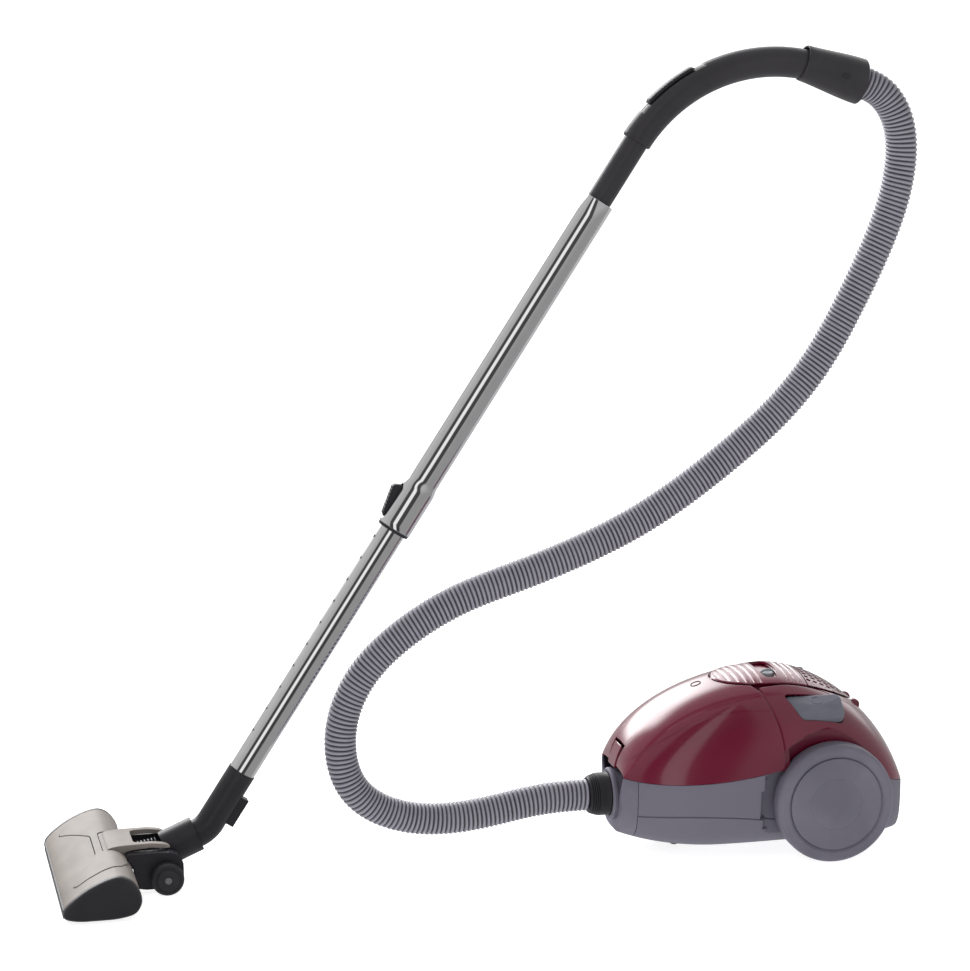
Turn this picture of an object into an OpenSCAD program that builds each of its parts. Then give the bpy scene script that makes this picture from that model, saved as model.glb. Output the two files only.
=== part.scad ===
// Canister vacuum cleaner with telescopic wand, curved grip, hose and floor head.
// Millimetres, +Z up, +X from the floor head towards the canister, floor at z = 0.
// Origin on the floor, in the middle of the length of the whole machine.

/* [Canister] */
// length of the canister body
can_l = 350; // [325:5:420]
// height of the canister's crest above the floor
can_h = 216; // [205:1:250]
// width of the canister body between the wheels' fronts
can_w = 208; // [196:2:250]
// wall thickness of the plastic shells
wall = 2.5; // [2:0.5:3]
// diameter of the big rear wheels
wheel_d = 146; // [130:2:160]
// width of a rear wheel
wheel_w = 24; // [18:1:28]
// gap between neighbouring shells
seam = 0.6; // [0.4:0.1:1]

/* [Wand] */
// distance from the floor head's axle to the canister's nose
stance = 549; // [530:1:640]
// slope of the wand above the floor
wand_angle = 57; // [54:1:60]
// distance along the wand from its bend to the mouth of the upper tube
wand_l = 870; // [850:5:950]
// outside diameter of the upper tube
upper_d = 35; // [35:0.5:38]
// outside diameter of the lower tube
lower_d = 32; // [28:0.5:32]
// length of lower tube that shows below the collar
lower_show = 339; // [300:1:360]
// wall thickness of the tubes
tube_wall = 1; // [0.8:0.1:1]

/* [Handle] */
// radius of the grip's centre line
grip_r = 198; // [190:1:215]
// thickness of the grip across its curve
grip_t = 35.5; // [34:0.5:40]
// width of the grip
grip_w = 36; // [35:1:42]
// diameter of the air duct inside the grip
duct_d = 29.6; // [27:0.1:30]

/* [Hose] */
// outside diameter of the hose
hose_d = 38; // [34:1:38]

/* [Floor head] */
// width of the floor head
head_w = 270; // [250:5:320]
// height of the floor head
head_h = 54; // [50:1:60]
// distance from the axle to the front edge of the floor head
head_front = 128; // [122:1:145]
// diameter of the floor head's rollers
roller_d = 38; // [34:1:40]

/* [Fits] */
// radial clearance of a running fit
run_fit = 0.05; // [0.02:0.01:0.1]
// gap between parts that must never touch
gap = 0.4; // [0.3:0.1:0.6]

/* [Hidden] */

$fn = 48;

// places along the floor
total_l = head_front + stance + can_l;
axle_x = head_front - total_l / 2;
nose_x = axle_x + stance;

// canister outline: lengths along the body are fractions of can_l
crest_x = 0.56 * can_l;
widest_x = 0.571 * can_l;
wheel_x = 0.705 * can_l;
wheel_r = wheel_d / 2;
well_r = wheel_r + 4;
wheel_out = can_w / 2 + 14;
wheel_in = wheel_out - wheel_w;
well_y = wheel_in - 3;
nose_belt = 0.48 * can_h;
rear_belt = 0.37 * can_h;
floor_gap = 10;
nose_lift = 16;
inlet_z = 0.32 * can_h;
inlet_d = 63;
cuff_d = 52;
outlet_z = rear_belt - 22;
cuff_l = 32;

function pw(a, n) = pow(abs(a), n);
function sgn(a) = a < 0 ? -1 : 1;
function round_off(r, n) = pow(max(0, 1 - pw(min(1, r), n)), 1 / n);
function mix(a, b, f) = a + (b - a) * f;

// height of the widest line of the body at a distance x from the nose
function belt_z(x) = x < crest_x
    ? nose_belt - 3 + 18 * pw(x / crest_x - 0.22, 2) / 0.61
    : nose_belt + 15 - (nose_belt + 15 - rear_belt) * pw((x - crest_x) / (can_l - crest_x), 1.5);
function top_z(x) = x < crest_x
    ? nose_belt + (can_h - nose_belt) * round_off((crest_x - x) / crest_x, 1.85)
    : rear_belt + (can_h - rear_belt) * round_off((x - crest_x) / (can_l - crest_x), 1.75);
function bottom_z(x) = floor_gap + nose_lift * pw(max(0, 1 - x / (0.34 * can_l)), 2);
function half_w(x) = x < widest_x
    ? can_w / 2 * round_off((widest_x - x) / (widest_x + 12), 2.6)
    : can_w / 2 * round_off((x - widest_x) / (can_l + 12 - widest_x), 2.8);
// height of the top of the body over a place x, y
function roof_z(x, y) = mix(belt_z(x), top_z(x), round_off(abs(y) / half_w(x), 2.3));

// one point of a body section; a = 0 on the near side, 90 at the top, lift moves the belt line,
// t is the inset; next to a rear wheel the side steps in to the wheel pocket
function plain_point(x, a, t, lift) =
    let (w = half_w(x) - t, up = a <= 180, n = up ? 2.3 : 3.6, zb = belt_z(x) + lift,
        zt = max(top_z(x) - t, zb + 0.3), zl = bottom_z(x) + t)
    [x + t * (1 - 2 * x / can_l), -w * sgn(cos(a)) * pw(cos(a), 2 / n),
        up ? mix(zb, zt, pw(sin(a), 2 / n)) : mix(zb, zl, pw(sin(a), 2 / n))];
function near_wheel(p) = norm([p[0] - wheel_x, p[2] - wheel_r]) < well_r + 11;
function body_point(x, a, t, lift) =
    let (q = plain_point(x, a, 0, lift), p = plain_point(x, a, t, lift))
    near_wheel(q) ? [p[0], sgn(p[1]) * min(abs(p[1]), well_y - t), p[2]] : p;

// closed shell between two grids of points, both rows x cols
module shell(outer, inner) {
    rows = len(outer);
    cols = len(outer[0]);
    n = rows * cols;
    function at(i, j, side) = side * n + i * cols + j;
    function two(a, b, c, d) = [[a, c, b], [a, d, c]];
    pts = concat([for (r = outer) each r], [for (r = inner) each r]);
    faces = concat(
        [for (i = [0:rows - 2], j = [0:cols - 2])
            each two(at(i, j, 0), at(i + 1, j, 0), at(i + 1, j + 1, 0), at(i, j + 1, 0))],
        [for (i = [0:rows - 2], j = [0:cols - 2])
            each two(at(i, j + 1, 1), at(i + 1, j + 1, 1), at(i + 1, j, 1), at(i, j, 1))],
        [for (i = [0:rows - 2]) each two(at(i, 0, 1), at(i + 1, 0, 1), at(i + 1, 0, 0), at(i, 0, 0))],
        [for (i = [0:rows - 2])
            each two(at(i, cols - 1, 0), at(i + 1, cols - 1, 0), at(i + 1, cols - 1, 1), at(i, cols - 1, 1))],
        [for (j = [0:cols - 2]) each two(at(0, j, 0), at(0, j + 1, 0), at(0, j + 1, 1), at(0, j, 1))],
        [for (j = [0:cols - 2])
            each two(at(rows - 1, j + 1, 0), at(rows - 1, j, 0), at(rows - 1, j, 1), at(rows - 1, j + 1, 1))]);
    translate([nose_x, 0, 0]) polyhedron(points = pts, faces = faces, convexity = 6);
}

// the inside of the body as one closed solid, inset by t, for pieces that fill it
module body_core(t) {
    rows = 16;
    cols = 28;
    pts = [for (i = [0:rows]) let (x = t + (can_l - 2 * t) * (1 - cos(180 * i / rows)) / 2)
        for (j = [0:cols - 1]) let (p = plain_point(x, 360 * j / cols, t, 0)) [x, p[1], p[2]]];
    sides = [for (i = [0:rows - 1]) for (j = [0:cols - 1]) let (k = (j + 1) % cols)
        each [[i * cols + j, (i + 1) * cols + k, (i + 1) * cols + j],
            [i * cols + j, i * cols + k, (i + 1) * cols + k]]];
    front = [for (j = [cols - 1:-1:0]) j];
    back = [for (j = [0:cols - 1]) rows * cols + j];
    translate([nose_x, 0, 0]) polyhedron(points = pts, faces = concat(sides, [front], [back]), convexity = 6);
}

// seam between lid and rear cover, seen from the side
seam_x = 0.53 * can_l;
seam_low = 120;
seam_lean = 0.0026;
function seam_at(z) = seam_x - seam_lean * pw(max(0, z - seam_low), 2);

// oval panel on top, with the slot for the suction knob
panel_mid = 0.606 * can_l;
panel_half_l = 88;
panel_half_w = 50;
panel_split = 0.66 * can_l;
// how far the oval reaches ahead of or behind its middle at a distance y from the centre line
function oval_reach(y, grow) = (panel_half_l + grow) * round_off(abs(y) / (panel_half_w + grow), 2.3);
function oval_half(x, grow) = (panel_half_w + grow) * round_off(abs(x - panel_mid) / (panel_half_l + grow), 2.3);
// where the lid ends and the rear cover begins on the section line a
function lid_end(a, x, n) = n == 0 ? x
    : let (p = plain_point(x, a, 0, 0), seam_here = seam_at(p[2]),
        clear = 1.25 * max(0, p[2] - hinge_z + 1), oval = panel_mid - oval_reach(p[1], 2))
    lid_end(a, mix(x, min(seam_here - clear, oval), 0.7), n - 1);
function cover_start(a, x, n) = n == 0 ? x
    : let (p = plain_point(x, a, 0, 0), seam_here = seam_at(p[2]) + seam,
        reach = oval_reach(p[1], 2), oval = reach > 0 ? panel_mid + reach : 0)
    cover_start(a, mix(x, max(seam_here, oval), 0.7), n - 1);
knob_x = 0.54 * can_l;
knob_y = -18;
knob_top = can_h + 1;

// pedals on the rear shoulders: s = -1 near side, +1 far side
pedal_x = 0.655 * can_l;
pedal_l = 72;
pedal_w = 34;
pedal_y = 76;
pedal_lean = 34;
pedal_z = can_h - 34;
module pedal_frame(s) {
    translate([nose_x + pedal_x, s * pedal_y, pedal_z]) rotate([-s * pedal_lean, 0, 0]) children();
}
function rounded(l, w, r) = [for (q = [0:3]) for (k = [0:4]) let (a = 90 * q + 22.5 * k)
    [(q == 0 || q == 3 ? 1 : -1) * (l / 2 - r) + r * cos(a), (q < 2 ? 1 : -1) * (w / 2 - r) + r * sin(a)]];
module pedal_prism(s, grow, down, up) {
    pedal_frame(s) translate([0, 0, -down]) linear_extrude(down + up)
        polygon(rounded(pedal_l + 2 * grow, pedal_w + 2 * grow, 7 + grow));
}

// lid hinge and latch
hinge_x = 0.48 * can_l;
hinge_z = can_h - 14;
hinge_y = 46;
hinge_pin_d = 2.6;
latch_z = nose_belt + 1;
latch_h = 22;
latch_w = 28;
latch_pin_x = 6;

// motor, reel and what else fills the rear
bulk_x = 0.5 * can_l;
bulk_t = 3;
bulk_w = 2 * (well_y - wall - 1);
motor_y = 34;
motor_z = 0.47 * can_h;
motor_d = 100;
motor_l = 104;
motor_x = bulk_x + 18;
shaft_d = 8;
reel_y = -60;
reel_z = 0.47 * can_h;
reel_x = 0.705 * can_l;
reel_d = 122;
reel_w = 32;
spindle_d = 12;

// caster under the nose
caster_x = 0.2 * can_l;
caster_wheel_r = 9;
caster_trail = 8;
caster_pin_d = 8;
caster_top = 23;

// wand: distances t are measured along it from the bend
neck_angle = 23;
neck_rise = 19;
neck_bend = 57;
axle_z = roller_d / 2;
bend_x = axle_x + neck_bend * cos(neck_angle);
bend_z = axle_z + neck_rise + neck_bend * sin(neck_angle);
elbow_top = 81;
collar_t = elbow_top + lower_show;
collar_l = 52;
collar_d = upper_d + 4;
cone_l = 13;
lower_inner = 84;
upper_id = upper_d - 2 * tube_wall;
lower_id = lower_d - 2 * tube_wall;
spigot_l = 46;
elbow_r = 36;
elbow_d = lower_d + 2;
neck_face = 45;
neck_d = 42;
barrel_d = roller_d - 4;
barrel_w = 58;

// handle: arc centre and end of the grip
grip_lead = 82;
arc_end = 18;
grip_start_x = bend_x + (wand_l + grip_lead) * cos(wand_angle);
grip_start_z = bend_z + (wand_l + grip_lead) * sin(wand_angle);
arc_x = grip_start_x + grip_r * sin(wand_angle);
arc_z = grip_start_z - grip_r * cos(wand_angle);
end_x = arc_x + grip_r * sin(arc_end);
end_z = arc_z + grip_r * cos(arc_end);
housing_l = 50;
ring_d = hose_d + 5;
exit_x = end_x + 46 * cos(arc_end);
exit_z = end_z - 46 * sin(arc_end);

// hose route in the middle plane, hand set: [x from the axle, height]
hose_route = [[460, 69], [400, 56], [340, 49], [280, 57], [222, 92], [210, 170], [240, 240], [300, 290],
    [365, 325], [435, 345], [505, 370], [575, 400], [640, 440], [700, 485], [755, 530],
    [805, 590], [840, 655], [872, 720], [895, 780], [904, 835], [898, 880], [875, 912]];
hose_start = [nose_x - cuff_l - gap, inlet_z];
hose_end = [exit_x, exit_z];
route_start = [axle_x + 518, 69];
route_end = [axle_x + 845, 922];
route_n = len(hose_route) + 1;
hose_ctrl = concat([hose_start],
    [for (i = [1:route_n - 1]) let (f = i / route_n)
        [axle_x + hose_route[i - 1][0], hose_route[i - 1][1]]
        + (1 - f) * (hose_start - route_start) + f * (hose_end - route_end)],
    [hose_end]);
function ctrl(i) = i < 0 ? 2 * hose_ctrl[0] - hose_ctrl[1]
    : i > route_n ? 2 * hose_ctrl[route_n] - hose_ctrl[route_n - 1] : hose_ctrl[i];
function spline(u) = let (i = min(floor(u), route_n - 1), f = u - i)
    (pow(1 - f, 3) * ctrl(i - 1) + (3 * f * f * f - 6 * f * f + 4) * ctrl(i)
        + (-3 * f * f * f + 3 * f * f + 3 * f + 1) * ctrl(i + 1) + f * f * f * ctrl(i + 2)) / 6;
function spline_dir(u) = let (d = spline(min(u + 0.01, route_n)) - spline(max(u - 0.01, 0)))
    d / norm(d);

// coiled spring standing on z = 0
module coil(r, wire, turns, height) {
    per = 10;
    sides = 5;
    n = per * turns;
    pts = [for (i = [0:n]) let (a = 360 * i / per, z = wire / 2 + (height - wire) * i / n)
        for (j = [0:sides - 1]) let (b = 360 * j / sides)
            [(r + wire / 2 * cos(b)) * cos(a), (r + wire / 2 * cos(b)) * sin(a),
                z + wire / 2 * sin(b)]];
    walls = [for (i = [0:n - 1]) for (j = [0:sides - 1]) let (k = (j + 1) % sides)
        each [[i * sides + j, i * sides + k, (i + 1) * sides + k],
            [i * sides + j, (i + 1) * sides + k, (i + 1) * sides + j]]];
    caps = [[for (j = [sides - 1:-1:0]) j], [for (j = [0:sides - 1]) n * sides + j]];
    polyhedron(points = pts, faces = concat(walls, caps), convexity = 8);
}

module pipe(d_out, d_in, h) {
    difference() {
        cylinder(d = d_out, h = h);
        translate([0, 0, -1]) cylinder(d = d_in, h = h + 2);
    }
}

module on_wand(t) {
    translate([bend_x, 0, bend_z]) rotate([0, 90 - wand_angle, 0]) translate([0, 0, t]) children();
}
module on_neck(s) {
    translate([axle_x, 0, axle_z + neck_rise]) rotate([0, 90 - neck_angle, 0])
        translate([0, 0, s]) children();
}
module on_end(s) {
    translate([end_x, 0, end_z]) rotate([0, 90 + arc_end, 0]) translate([0, 0, s]) children();
}
// sweeps a flat section, drawn round the origin with x outwards, along the grip's arc
module on_arc(from_angle, to_angle) {
    translate([arc_x, 0, arc_z]) rotate([90, 0, 0]) rotate([0, 0, 90 + to_angle])
        rotate_extrude(angle = from_angle - to_angle, $fn = 96) translate([grip_r, 0]) children();
}

// ---------------------------------------------------------------- canister shells

lower_rows = 22;
shell_cols = 26;
// rows of the lower shell: along the body, then closing over its back wall to a small notch
function lower_grid(t) = let (start = 15)
    [for (i = [0:lower_rows + 3])
        let (f = min(1, i / lower_rows), x = mix(start, can_l, sin(90 * f)), shut = max(0, (i - lower_rows) / 3))
        [for (j = [0:shell_cols]) let (a = 180 + 180 * j / shell_cols, p = body_point(x, a, t, -seam / 2),
                hub = [p[0], -3 * cos(a), rear_belt - seam / 2 + 3 * sin(a)])
            mix(p, hub, shut)]];
module lower_shell() {
    color("#6a6874") difference() {
        shell(lower_grid(0), lower_grid(wall));
        translate([nose_x + caster_x, 0, 0]) cylinder(d = 42, h = 60);
        for (s = [-1, 1])
            translate([nose_x + wheel_x, s * (well_y - 10), wheel_r])
                rotate([-90 * s, 0, 0]) cylinder(d = 11, h = 20);
        translate([nose_x + can_l - 12, 0, outlet_z]) rotate([0, 90, 0]) cylinder(d = 26, h = 30);
    }
}

// rows of the nose piece: from the edge of the inlet opening out, then back along the sides
function nose_grid(t) = let (r = inlet_d / 2 - 2 + gap)
    [for (i = [0:6]) let (open = max(0, 1 - i / 3), x = i < 3 ? 0 : mix(0, 14.4, (i - 3) / 3))
        [for (j = [0:shell_cols]) let (a = 180 + 180 * j / shell_cols, p = body_point(x, a, t, -seam / 2),
                rim = [p[0], -r * cos(a), inlet_z + r * sin(a)])
            mix(p, rim, open)]];
module nose_piece() {
    color("#6a6874") shell(nose_grid(0), nose_grid(wall));
}

lid_rows = 18;
top_cols = 44;
function lid_grid(t) = [for (i = [0:lid_rows])
    [for (j = [0:top_cols]) let (a = 180 * j / top_cols, y = plain_point(3, a, 0, 0)[1],
            x0 = abs(y) < latch_w / 2 + 3 ? 10 : 0.3, x1 = lid_end(a, seam_x, 14),
            x = mix(x0, x1, 1 - cos(90 * i / lid_rows)))
        plain_point(x, a, t, seam / 2)]];
window_x = 104;
window_slope = 19;
module on_lid_top(x, slope) {
    translate([nose_x + x, 0, top_z(x)]) rotate([0, -slope, 0]) children();
}
module lid() {
    color("#64102e") difference() {
        shell(lid_grid(0), lid_grid(wall));
        on_lid_top(window_x, window_slope) translate([0, 0, -8]) cylinder(d = 12, h = 16);
    }
}

cover_rows = 16;
function cover_grid(t) = [for (i = [0:cover_rows])
    [for (j = [0:top_cols]) let (a = 180 * j / top_cols, x0 = cover_start(a, seam_x, 14),
            x = mix(x0, can_l - 0.3, sin(90 * i / cover_rows)))
        body_point(x, a, t, seam / 2)]];
module rear_cover() {
    color("#64102e") difference() {
        union() {
            shell(cover_grid(0), cover_grid(wall));
            for (s = [-1, 1]) translate([nose_x + 0.86 * can_l, s * 17 + 3, top_z(0.86 * can_l) - 4])
                rotate([90, 0, 0]) cylinder(d = 15, h = 6);
        }
        for (s = [-1, 1]) pedal_prism(s, 0.8, 40, 40);
    }
}

// one point of the panel's top over x, y, sunk by t
function panel_point(x, y, t) = [x, y, roof_z(x, y) + 1.5 - t];
slot_l = 74;
slot_w = 22;
// outline of the knob's slot and of the ribbed part of the oval, as seen from the slot's centre
function slot_edge(a) = [knob_x + slot_w / 2 * sgn(cos(a)) * pw(cos(a), 0.5),
    slot_l / 2 * sgn(sin(a)) * pw(sin(a), 0.8)];
function panel_edge(a, r, n) = n == 0 ? [knob_x + r * cos(a), r * sin(a)]
    : let (x = knob_x + r * cos(a), y = r * sin(a),
        q = max(pow(pw((x - panel_mid) / panel_half_l, 2.3) + pw(y / panel_half_w, 2.3), 1 / 2.3),
            (x - knob_x) / (panel_split - 0.3 - knob_x)))
    panel_edge(a, r / mix(1, q, 0.7), n - 1);
function panel_grid(t) = [for (i = [0:3])
    [for (j = [0:48]) let (a = 7.5 * j, e = panel_edge(a, 40, 12), s = slot_edge(a), p = mix(s, e, i / 3))
        panel_point(p[0], p[1], t)]];
module top_panel() {
    color("#7a3848") translate([nose_x, 0, 0]) ring_shell(panel_grid(0), panel_grid(wall + 1.5));
}
// closed shell between two rings of points whose first and last columns are the same place
module ring_shell(outer, inner) {
    rows = len(outer);
    cols = len(outer[0]) - 1;
    n = rows * cols;
    function at(i, j, side) = side * n + i * cols + (j % cols);
    function two(a, b, c, d) = [[a, b, c], [a, c, d]];
    pts = concat([for (r = outer) for (j = [0:cols - 1]) r[j]], [for (r = inner) for (j = [0:cols - 1]) r[j]]);
    faces = concat(
        [for (i = [0:rows - 2], j = [0:cols - 1])
            each two(at(i, j + 1, 0), at(i + 1, j + 1, 0), at(i + 1, j, 0), at(i, j, 0))],
        [for (i = [0:rows - 2], j = [0:cols - 1])
            each two(at(i, j, 1), at(i + 1, j, 1), at(i + 1, j + 1, 1), at(i, j + 1, 1))],
        [for (j = [0:cols - 1]) each two(at(0, j, 0), at(0, j, 1), at(0, j + 1, 1), at(0, j + 1, 0))],
        [for (j = [0:cols - 1])
            each two(at(rows - 1, j + 1, 0), at(rows - 1, j + 1, 1), at(rows - 1, j, 1), at(rows - 1, j, 0))]);
    polyhedron(points = pts, faces = faces, convexity = 6);
}

function grille_grid(t) = [for (i = [0:8])
    let (x = mix(panel_split + 0.3, panel_mid + panel_half_l - 1, i / 8), h = oval_half(x, 0))
    [for (j = [0:10]) panel_point(x, mix(-h, h, j / 10), t)]];
hole_pitch = 9;
module exhaust_grille() {
    color("#64102e") difference() {
        shell(grille_grid(0), grille_grid(wall + 1));
        for (i = [0:6], j = [-4:4]) let (x = panel_split + 9 + 8 * i)
            if (abs(j) * hole_pitch < oval_half(x, -5))
                translate([nose_x + x, j * hole_pitch, 120]) cylinder(d = 5, h = 110, $fn = 24);
    }
}

module suction_knob() {
    color("#a8a8b0") translate([nose_x + knob_x, knob_y, 0]) {
        translate([0, 0, knob_top - 14]) cylinder(d = 18, h = 12);
        translate([-8, -2, knob_top - 4]) cube([16, 4, 6]);
        translate([0, 0, knob_top - 22]) cylinder(d = 6, h = 9);
    }
}

module bag_full_window() {
    color("#d8d8dc") on_lid_top(window_x, window_slope) translate([0, 0, -3.4]) cylinder(d = 11.4, h = 3.2);
}

module lid_latch() {
    color("#64102e") translate([nose_x, 0, latch_z]) rotate([90, 0, 0]) union() {
        translate([0, 0, -latch_w / 2]) linear_extrude(latch_w)
            polygon([[-2, 0], [3, 0], [8, latch_h - 2], [6, latch_h], [1, 9]]);
        translate([latch_pin_x, latch_h - 2, -latch_w / 2]) cylinder(d = 4, h = latch_w);
    }
}

module lid_hinge_arms() {
    color("#555560") for (s = [-1, 1]) translate([nose_x + hinge_x, s * hinge_y, hinge_z]) difference() {
        rotate([90, 0, 0]) translate([0, 0, -2]) union() {
            cylinder(d = 4.6, h = 4);
            translate([-2.3, -8, 0]) cube([4.6, 8, 4]);
            translate([-26, -8, 0]) cube([26, 4, 4]);
        }
        rotate([90, 0, 0]) translate([0, 0, -5]) cylinder(d = hinge_pin_d + 2 * run_fit, h = 10);
    }
}

// posts with the lid's hinge pins, and seats under the pedal springs
module inner_brackets() {
    post = hinge_y - 8;
    color("#8a8a90") {
        for (s = [-1, 1]) translate([nose_x + hinge_x, 0, hinge_z]) {
            translate([0, s * post, 0]) rotate([-90 * s, 0, 0]) cylinder(d = hinge_pin_d, h = 12);
            translate([-2.5, s * post - 2, -34]) cube([5, 4, 36]);
            translate([-2.5, s * post - 2, -34]) cube([bulk_x - hinge_x + 2.5, 4, 10]);
        }
        for (s = [-1, 1]) pedal_frame(s) difference() {
            union() {
                translate([-pedal_l / 2 - 8, -6, -24]) cube([pedal_l + 16, 12, 2]);
                for (k = [-1, 1]) translate([k * (pedal_l / 2 + 6) - 2, -6, -24]) cube([4, 12, 6]);
            }
            translate([0, 0, -30]) cylinder(d = 6, h = 20);
        }
    }
}

// ---------------------------------------------------------------- controls

module pedal(s) {
    color("#6e6c78") union() {
        pedal_prism(s, 0, 8, 4);
        pedal_frame(s) translate([0, 0, -28]) cylinder(d = 5, h = 21);
    }
}
module power_pedal() { pedal(-1); }
module rewind_pedal() { pedal(1); }

module pedal_springs() {
    color("#b8b8bc") for (s = [-1, 1]) pedal_frame(s) translate([0, 0, -21.9]) coil(4, 1, 5, 13.8);
}

module rear_wheel(s) {
    color("#6a6874") translate([nose_x + wheel_x, s * wheel_in, wheel_r]) rotate([-90 * s, 0, 0])
        difference() {
            rotate_extrude($fn = 96) polygon([[5 + run_fit, 0], [14, 0], [14, 6], [wheel_r - 10, 6],
                [wheel_r - 10, 0], [wheel_r - 2, 0], [wheel_r, 2], [wheel_r, wheel_w - 7],
                [wheel_r - 3, wheel_w - 2.5], [wheel_r - 9, wheel_w], [wheel_r - 15.5, wheel_w],
                [wheel_r - 15.5, wheel_w - 4], [14, wheel_w - 4], [14, wheel_w - 6],
                [5 + run_fit, wheel_w - 6]]);
            for (k = [0:5]) rotate([0, 0, 60 * k]) translate([wheel_r * 0.55, 0, -1])
                cylinder(d = 18, h = wheel_w - 2);
        }
}
module left_wheel() { rear_wheel(1); }
module right_wheel() { rear_wheel(-1); }

module wheel_cap(s) {
    color("#6e6c78") translate([nose_x + wheel_x, s * (wheel_out - 4 + 0.05), wheel_r])
        rotate([-90 * s, 0, 0]) rotate_extrude($fn = 96)
            polygon([[0, 0], [wheel_r - 16, 0], [wheel_r - 16, 2.6], [wheel_r - 17, 3.6], [0, 4.2]]);
}
module left_wheel_cap() { wheel_cap(1); }
module right_wheel_cap() { wheel_cap(-1); }

module axle_stubs() {
    color("#c0c0c4") for (s = [-1, 1]) translate([nose_x + wheel_x, s * (well_y - wall - 3.4), wheel_r])
        rotate([-90 * s, 0, 0]) {
            cylinder(d = 26, h = 3);
            cylinder(d = 10, h = wheel_in + wheel_w - 6.6 - (well_y - wall - 3.4));
        }
}

module caster_socket() {
    color("#58565f") translate([nose_x + caster_x, 0, caster_top + 1]) difference() {
        union() {
            cylinder(d = 41.2, h = 3);
            cylinder(d = 16, h = 20);
        }
        translate([0, 0, -1]) cylinder(d = caster_pin_d + 2 * run_fit, h = 30);
    }
}
module caster_fork() {
    color("#58565f") translate([nose_x + caster_x, 0, 0]) {
        translate([0, 0, caster_top - 2]) cylinder(d = 26, h = 2.6);
        translate([0, 0, caster_top]) cylinder(d = caster_pin_d, h = 20);
        for (s = [-1, 1]) translate([0, s > 0 ? 8 : -11, caster_wheel_r - 4])
            cube([caster_trail + 4, 3, caster_top - caster_wheel_r + 3]);
        translate([caster_trail, 11, caster_wheel_r]) rotate([90, 0, 0]) cylinder(d = 4, h = 22);
    }
}
module caster_wheel() {
    color("#3a3a40") translate([nose_x + caster_x + caster_trail, 7, caster_wheel_r])
        rotate([90, 0, 0]) pipe(2 * caster_wheel_r, 4 + 2 * run_fit, 14);
}

// ---------------------------------------------------------------- inside the canister

module inlet_ring() {
    color("#77757f") translate([nose_x - 6, 0, inlet_z]) rotate([0, 90, 0]) rotate_extrude($fn = 64)
        polygon([[cuff_d / 2 + 1, 0], [inlet_d / 2 - 2, 0], [inlet_d / 2, 2], [inlet_d / 2, 5.6],
            [inlet_d / 2 - 2.2, 5.6], [inlet_d / 2 - 2.2, 24], [20, 24], [20, 20], [cuff_d / 2 + 1, 20]]);
}

module dust_bag() {
    color("#d8cdb4") translate([nose_x, 0, 0]) hull() {
        translate([52, 0, inlet_z]) rotate([0, 90, 0]) cylinder(d = 40, h = 1, $fn = 32);
        for (s = [-1, 1]) {
            translate([75, s * 60, 72]) sphere(18, $fn = 24);
            translate([138, s * 66, 68]) sphere(18, $fn = 24);
            translate([138, s * 42, 158]) sphere(16, $fn = 24);
            translate([80, s * 40, 138]) sphere(16, $fn = 24);
        }
    }
}
module bag_holder() {
    color("#9aa0a8") translate([nose_x + 44, 0, 0]) difference() {
        translate([0, -48, 34]) cube([5, 96, 84]);
        translate([-1, 0, inlet_z]) rotate([0, 90, 0]) cylinder(d = 42, h = 10);
    }
}
module bulkhead() {
    color("#5c5a64") difference() {
        intersection() {
            body_core(wall + 1);
            translate([nose_x + bulk_x, -bulk_w / 2, 0]) cube([bulk_t, bulk_w, can_h - 30]);
        }
        translate([nose_x + bulk_x - 1, motor_y, motor_z]) rotate([0, 90, 0]) cylinder(d = 50, h = 10);
    }
}
module motor_filter() {
    color("#d0d4d8") translate([nose_x + bulk_x - 9, motor_y - 40, motor_z - 34]) cube([8, 70, 80]);
}
module fan_cover() {
    color("#b0b0b4") translate([nose_x + motor_x, motor_y, motor_z]) rotate([0, 90, 0])
        rotate_extrude($fn = 72) polygon([[20, 0], [motor_d / 2 - 4, 0], [motor_d / 2, 4],
            [motor_d / 2, 25.7], [motor_d / 2 - 2, 25.7], [motor_d / 2 - 2, 5], [motor_d / 2 - 5, 2], [20, 2]]);
}
module motor_can() {
    color("#9c9ca0") translate([nose_x + motor_x + 26, motor_y, motor_z]) rotate([0, 90, 0]) difference() {
        rotate_extrude($fn = 72) polygon([[shaft_d / 2 + run_fit, 0], [motor_d / 2, 0],
            [motor_d / 2, motor_l - 28], [motor_d / 2 - 3, motor_l - 26], [shaft_d / 2 + run_fit, motor_l - 26],
            [shaft_d / 2 + run_fit, motor_l - 30], [motor_d / 2 - 2.5, motor_l - 30],
            [motor_d / 2 - 2.5, 3], [shaft_d / 2 + run_fit, 3]]);
        for (k = [0:5]) rotate([0, 0, 60 * k]) translate([34, 0, -1]) cylinder(d = 14, h = motor_l);
    }
}
module motor_stator() {
    color("#a86a3a") translate([nose_x + motor_x + 44, motor_y, motor_z]) rotate([0, 90, 0])
        pipe(motor_d - 5.2, 54, 34);
}
module motor_rotor() {
    color("#b07840") translate([nose_x + motor_x, motor_y, motor_z]) rotate([0, 90, 0]) {
        translate([0, 0, 6]) cylinder(d = shaft_d, h = motor_l - 8);
        translate([0, 0, 8]) cylinder(d = motor_d - 10, h = 12);
        translate([0, 0, 44]) cylinder(d = 52, h = 34);
    }
}
module cord_reel() {
    color("#404046") translate([nose_x + reel_x, reel_y + reel_w / 2, reel_z]) rotate([90, 0, 0])
        rotate_extrude($fn = 72) polygon([[spindle_d / 2 + run_fit, 0], [reel_d / 2, 0], [reel_d / 2, 2.5],
            [30, 2.5], [30, reel_w - 2.5], [reel_d / 2, reel_w - 2.5], [reel_d / 2, reel_w],
            [spindle_d / 2 + run_fit, reel_w]]);
}
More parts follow.
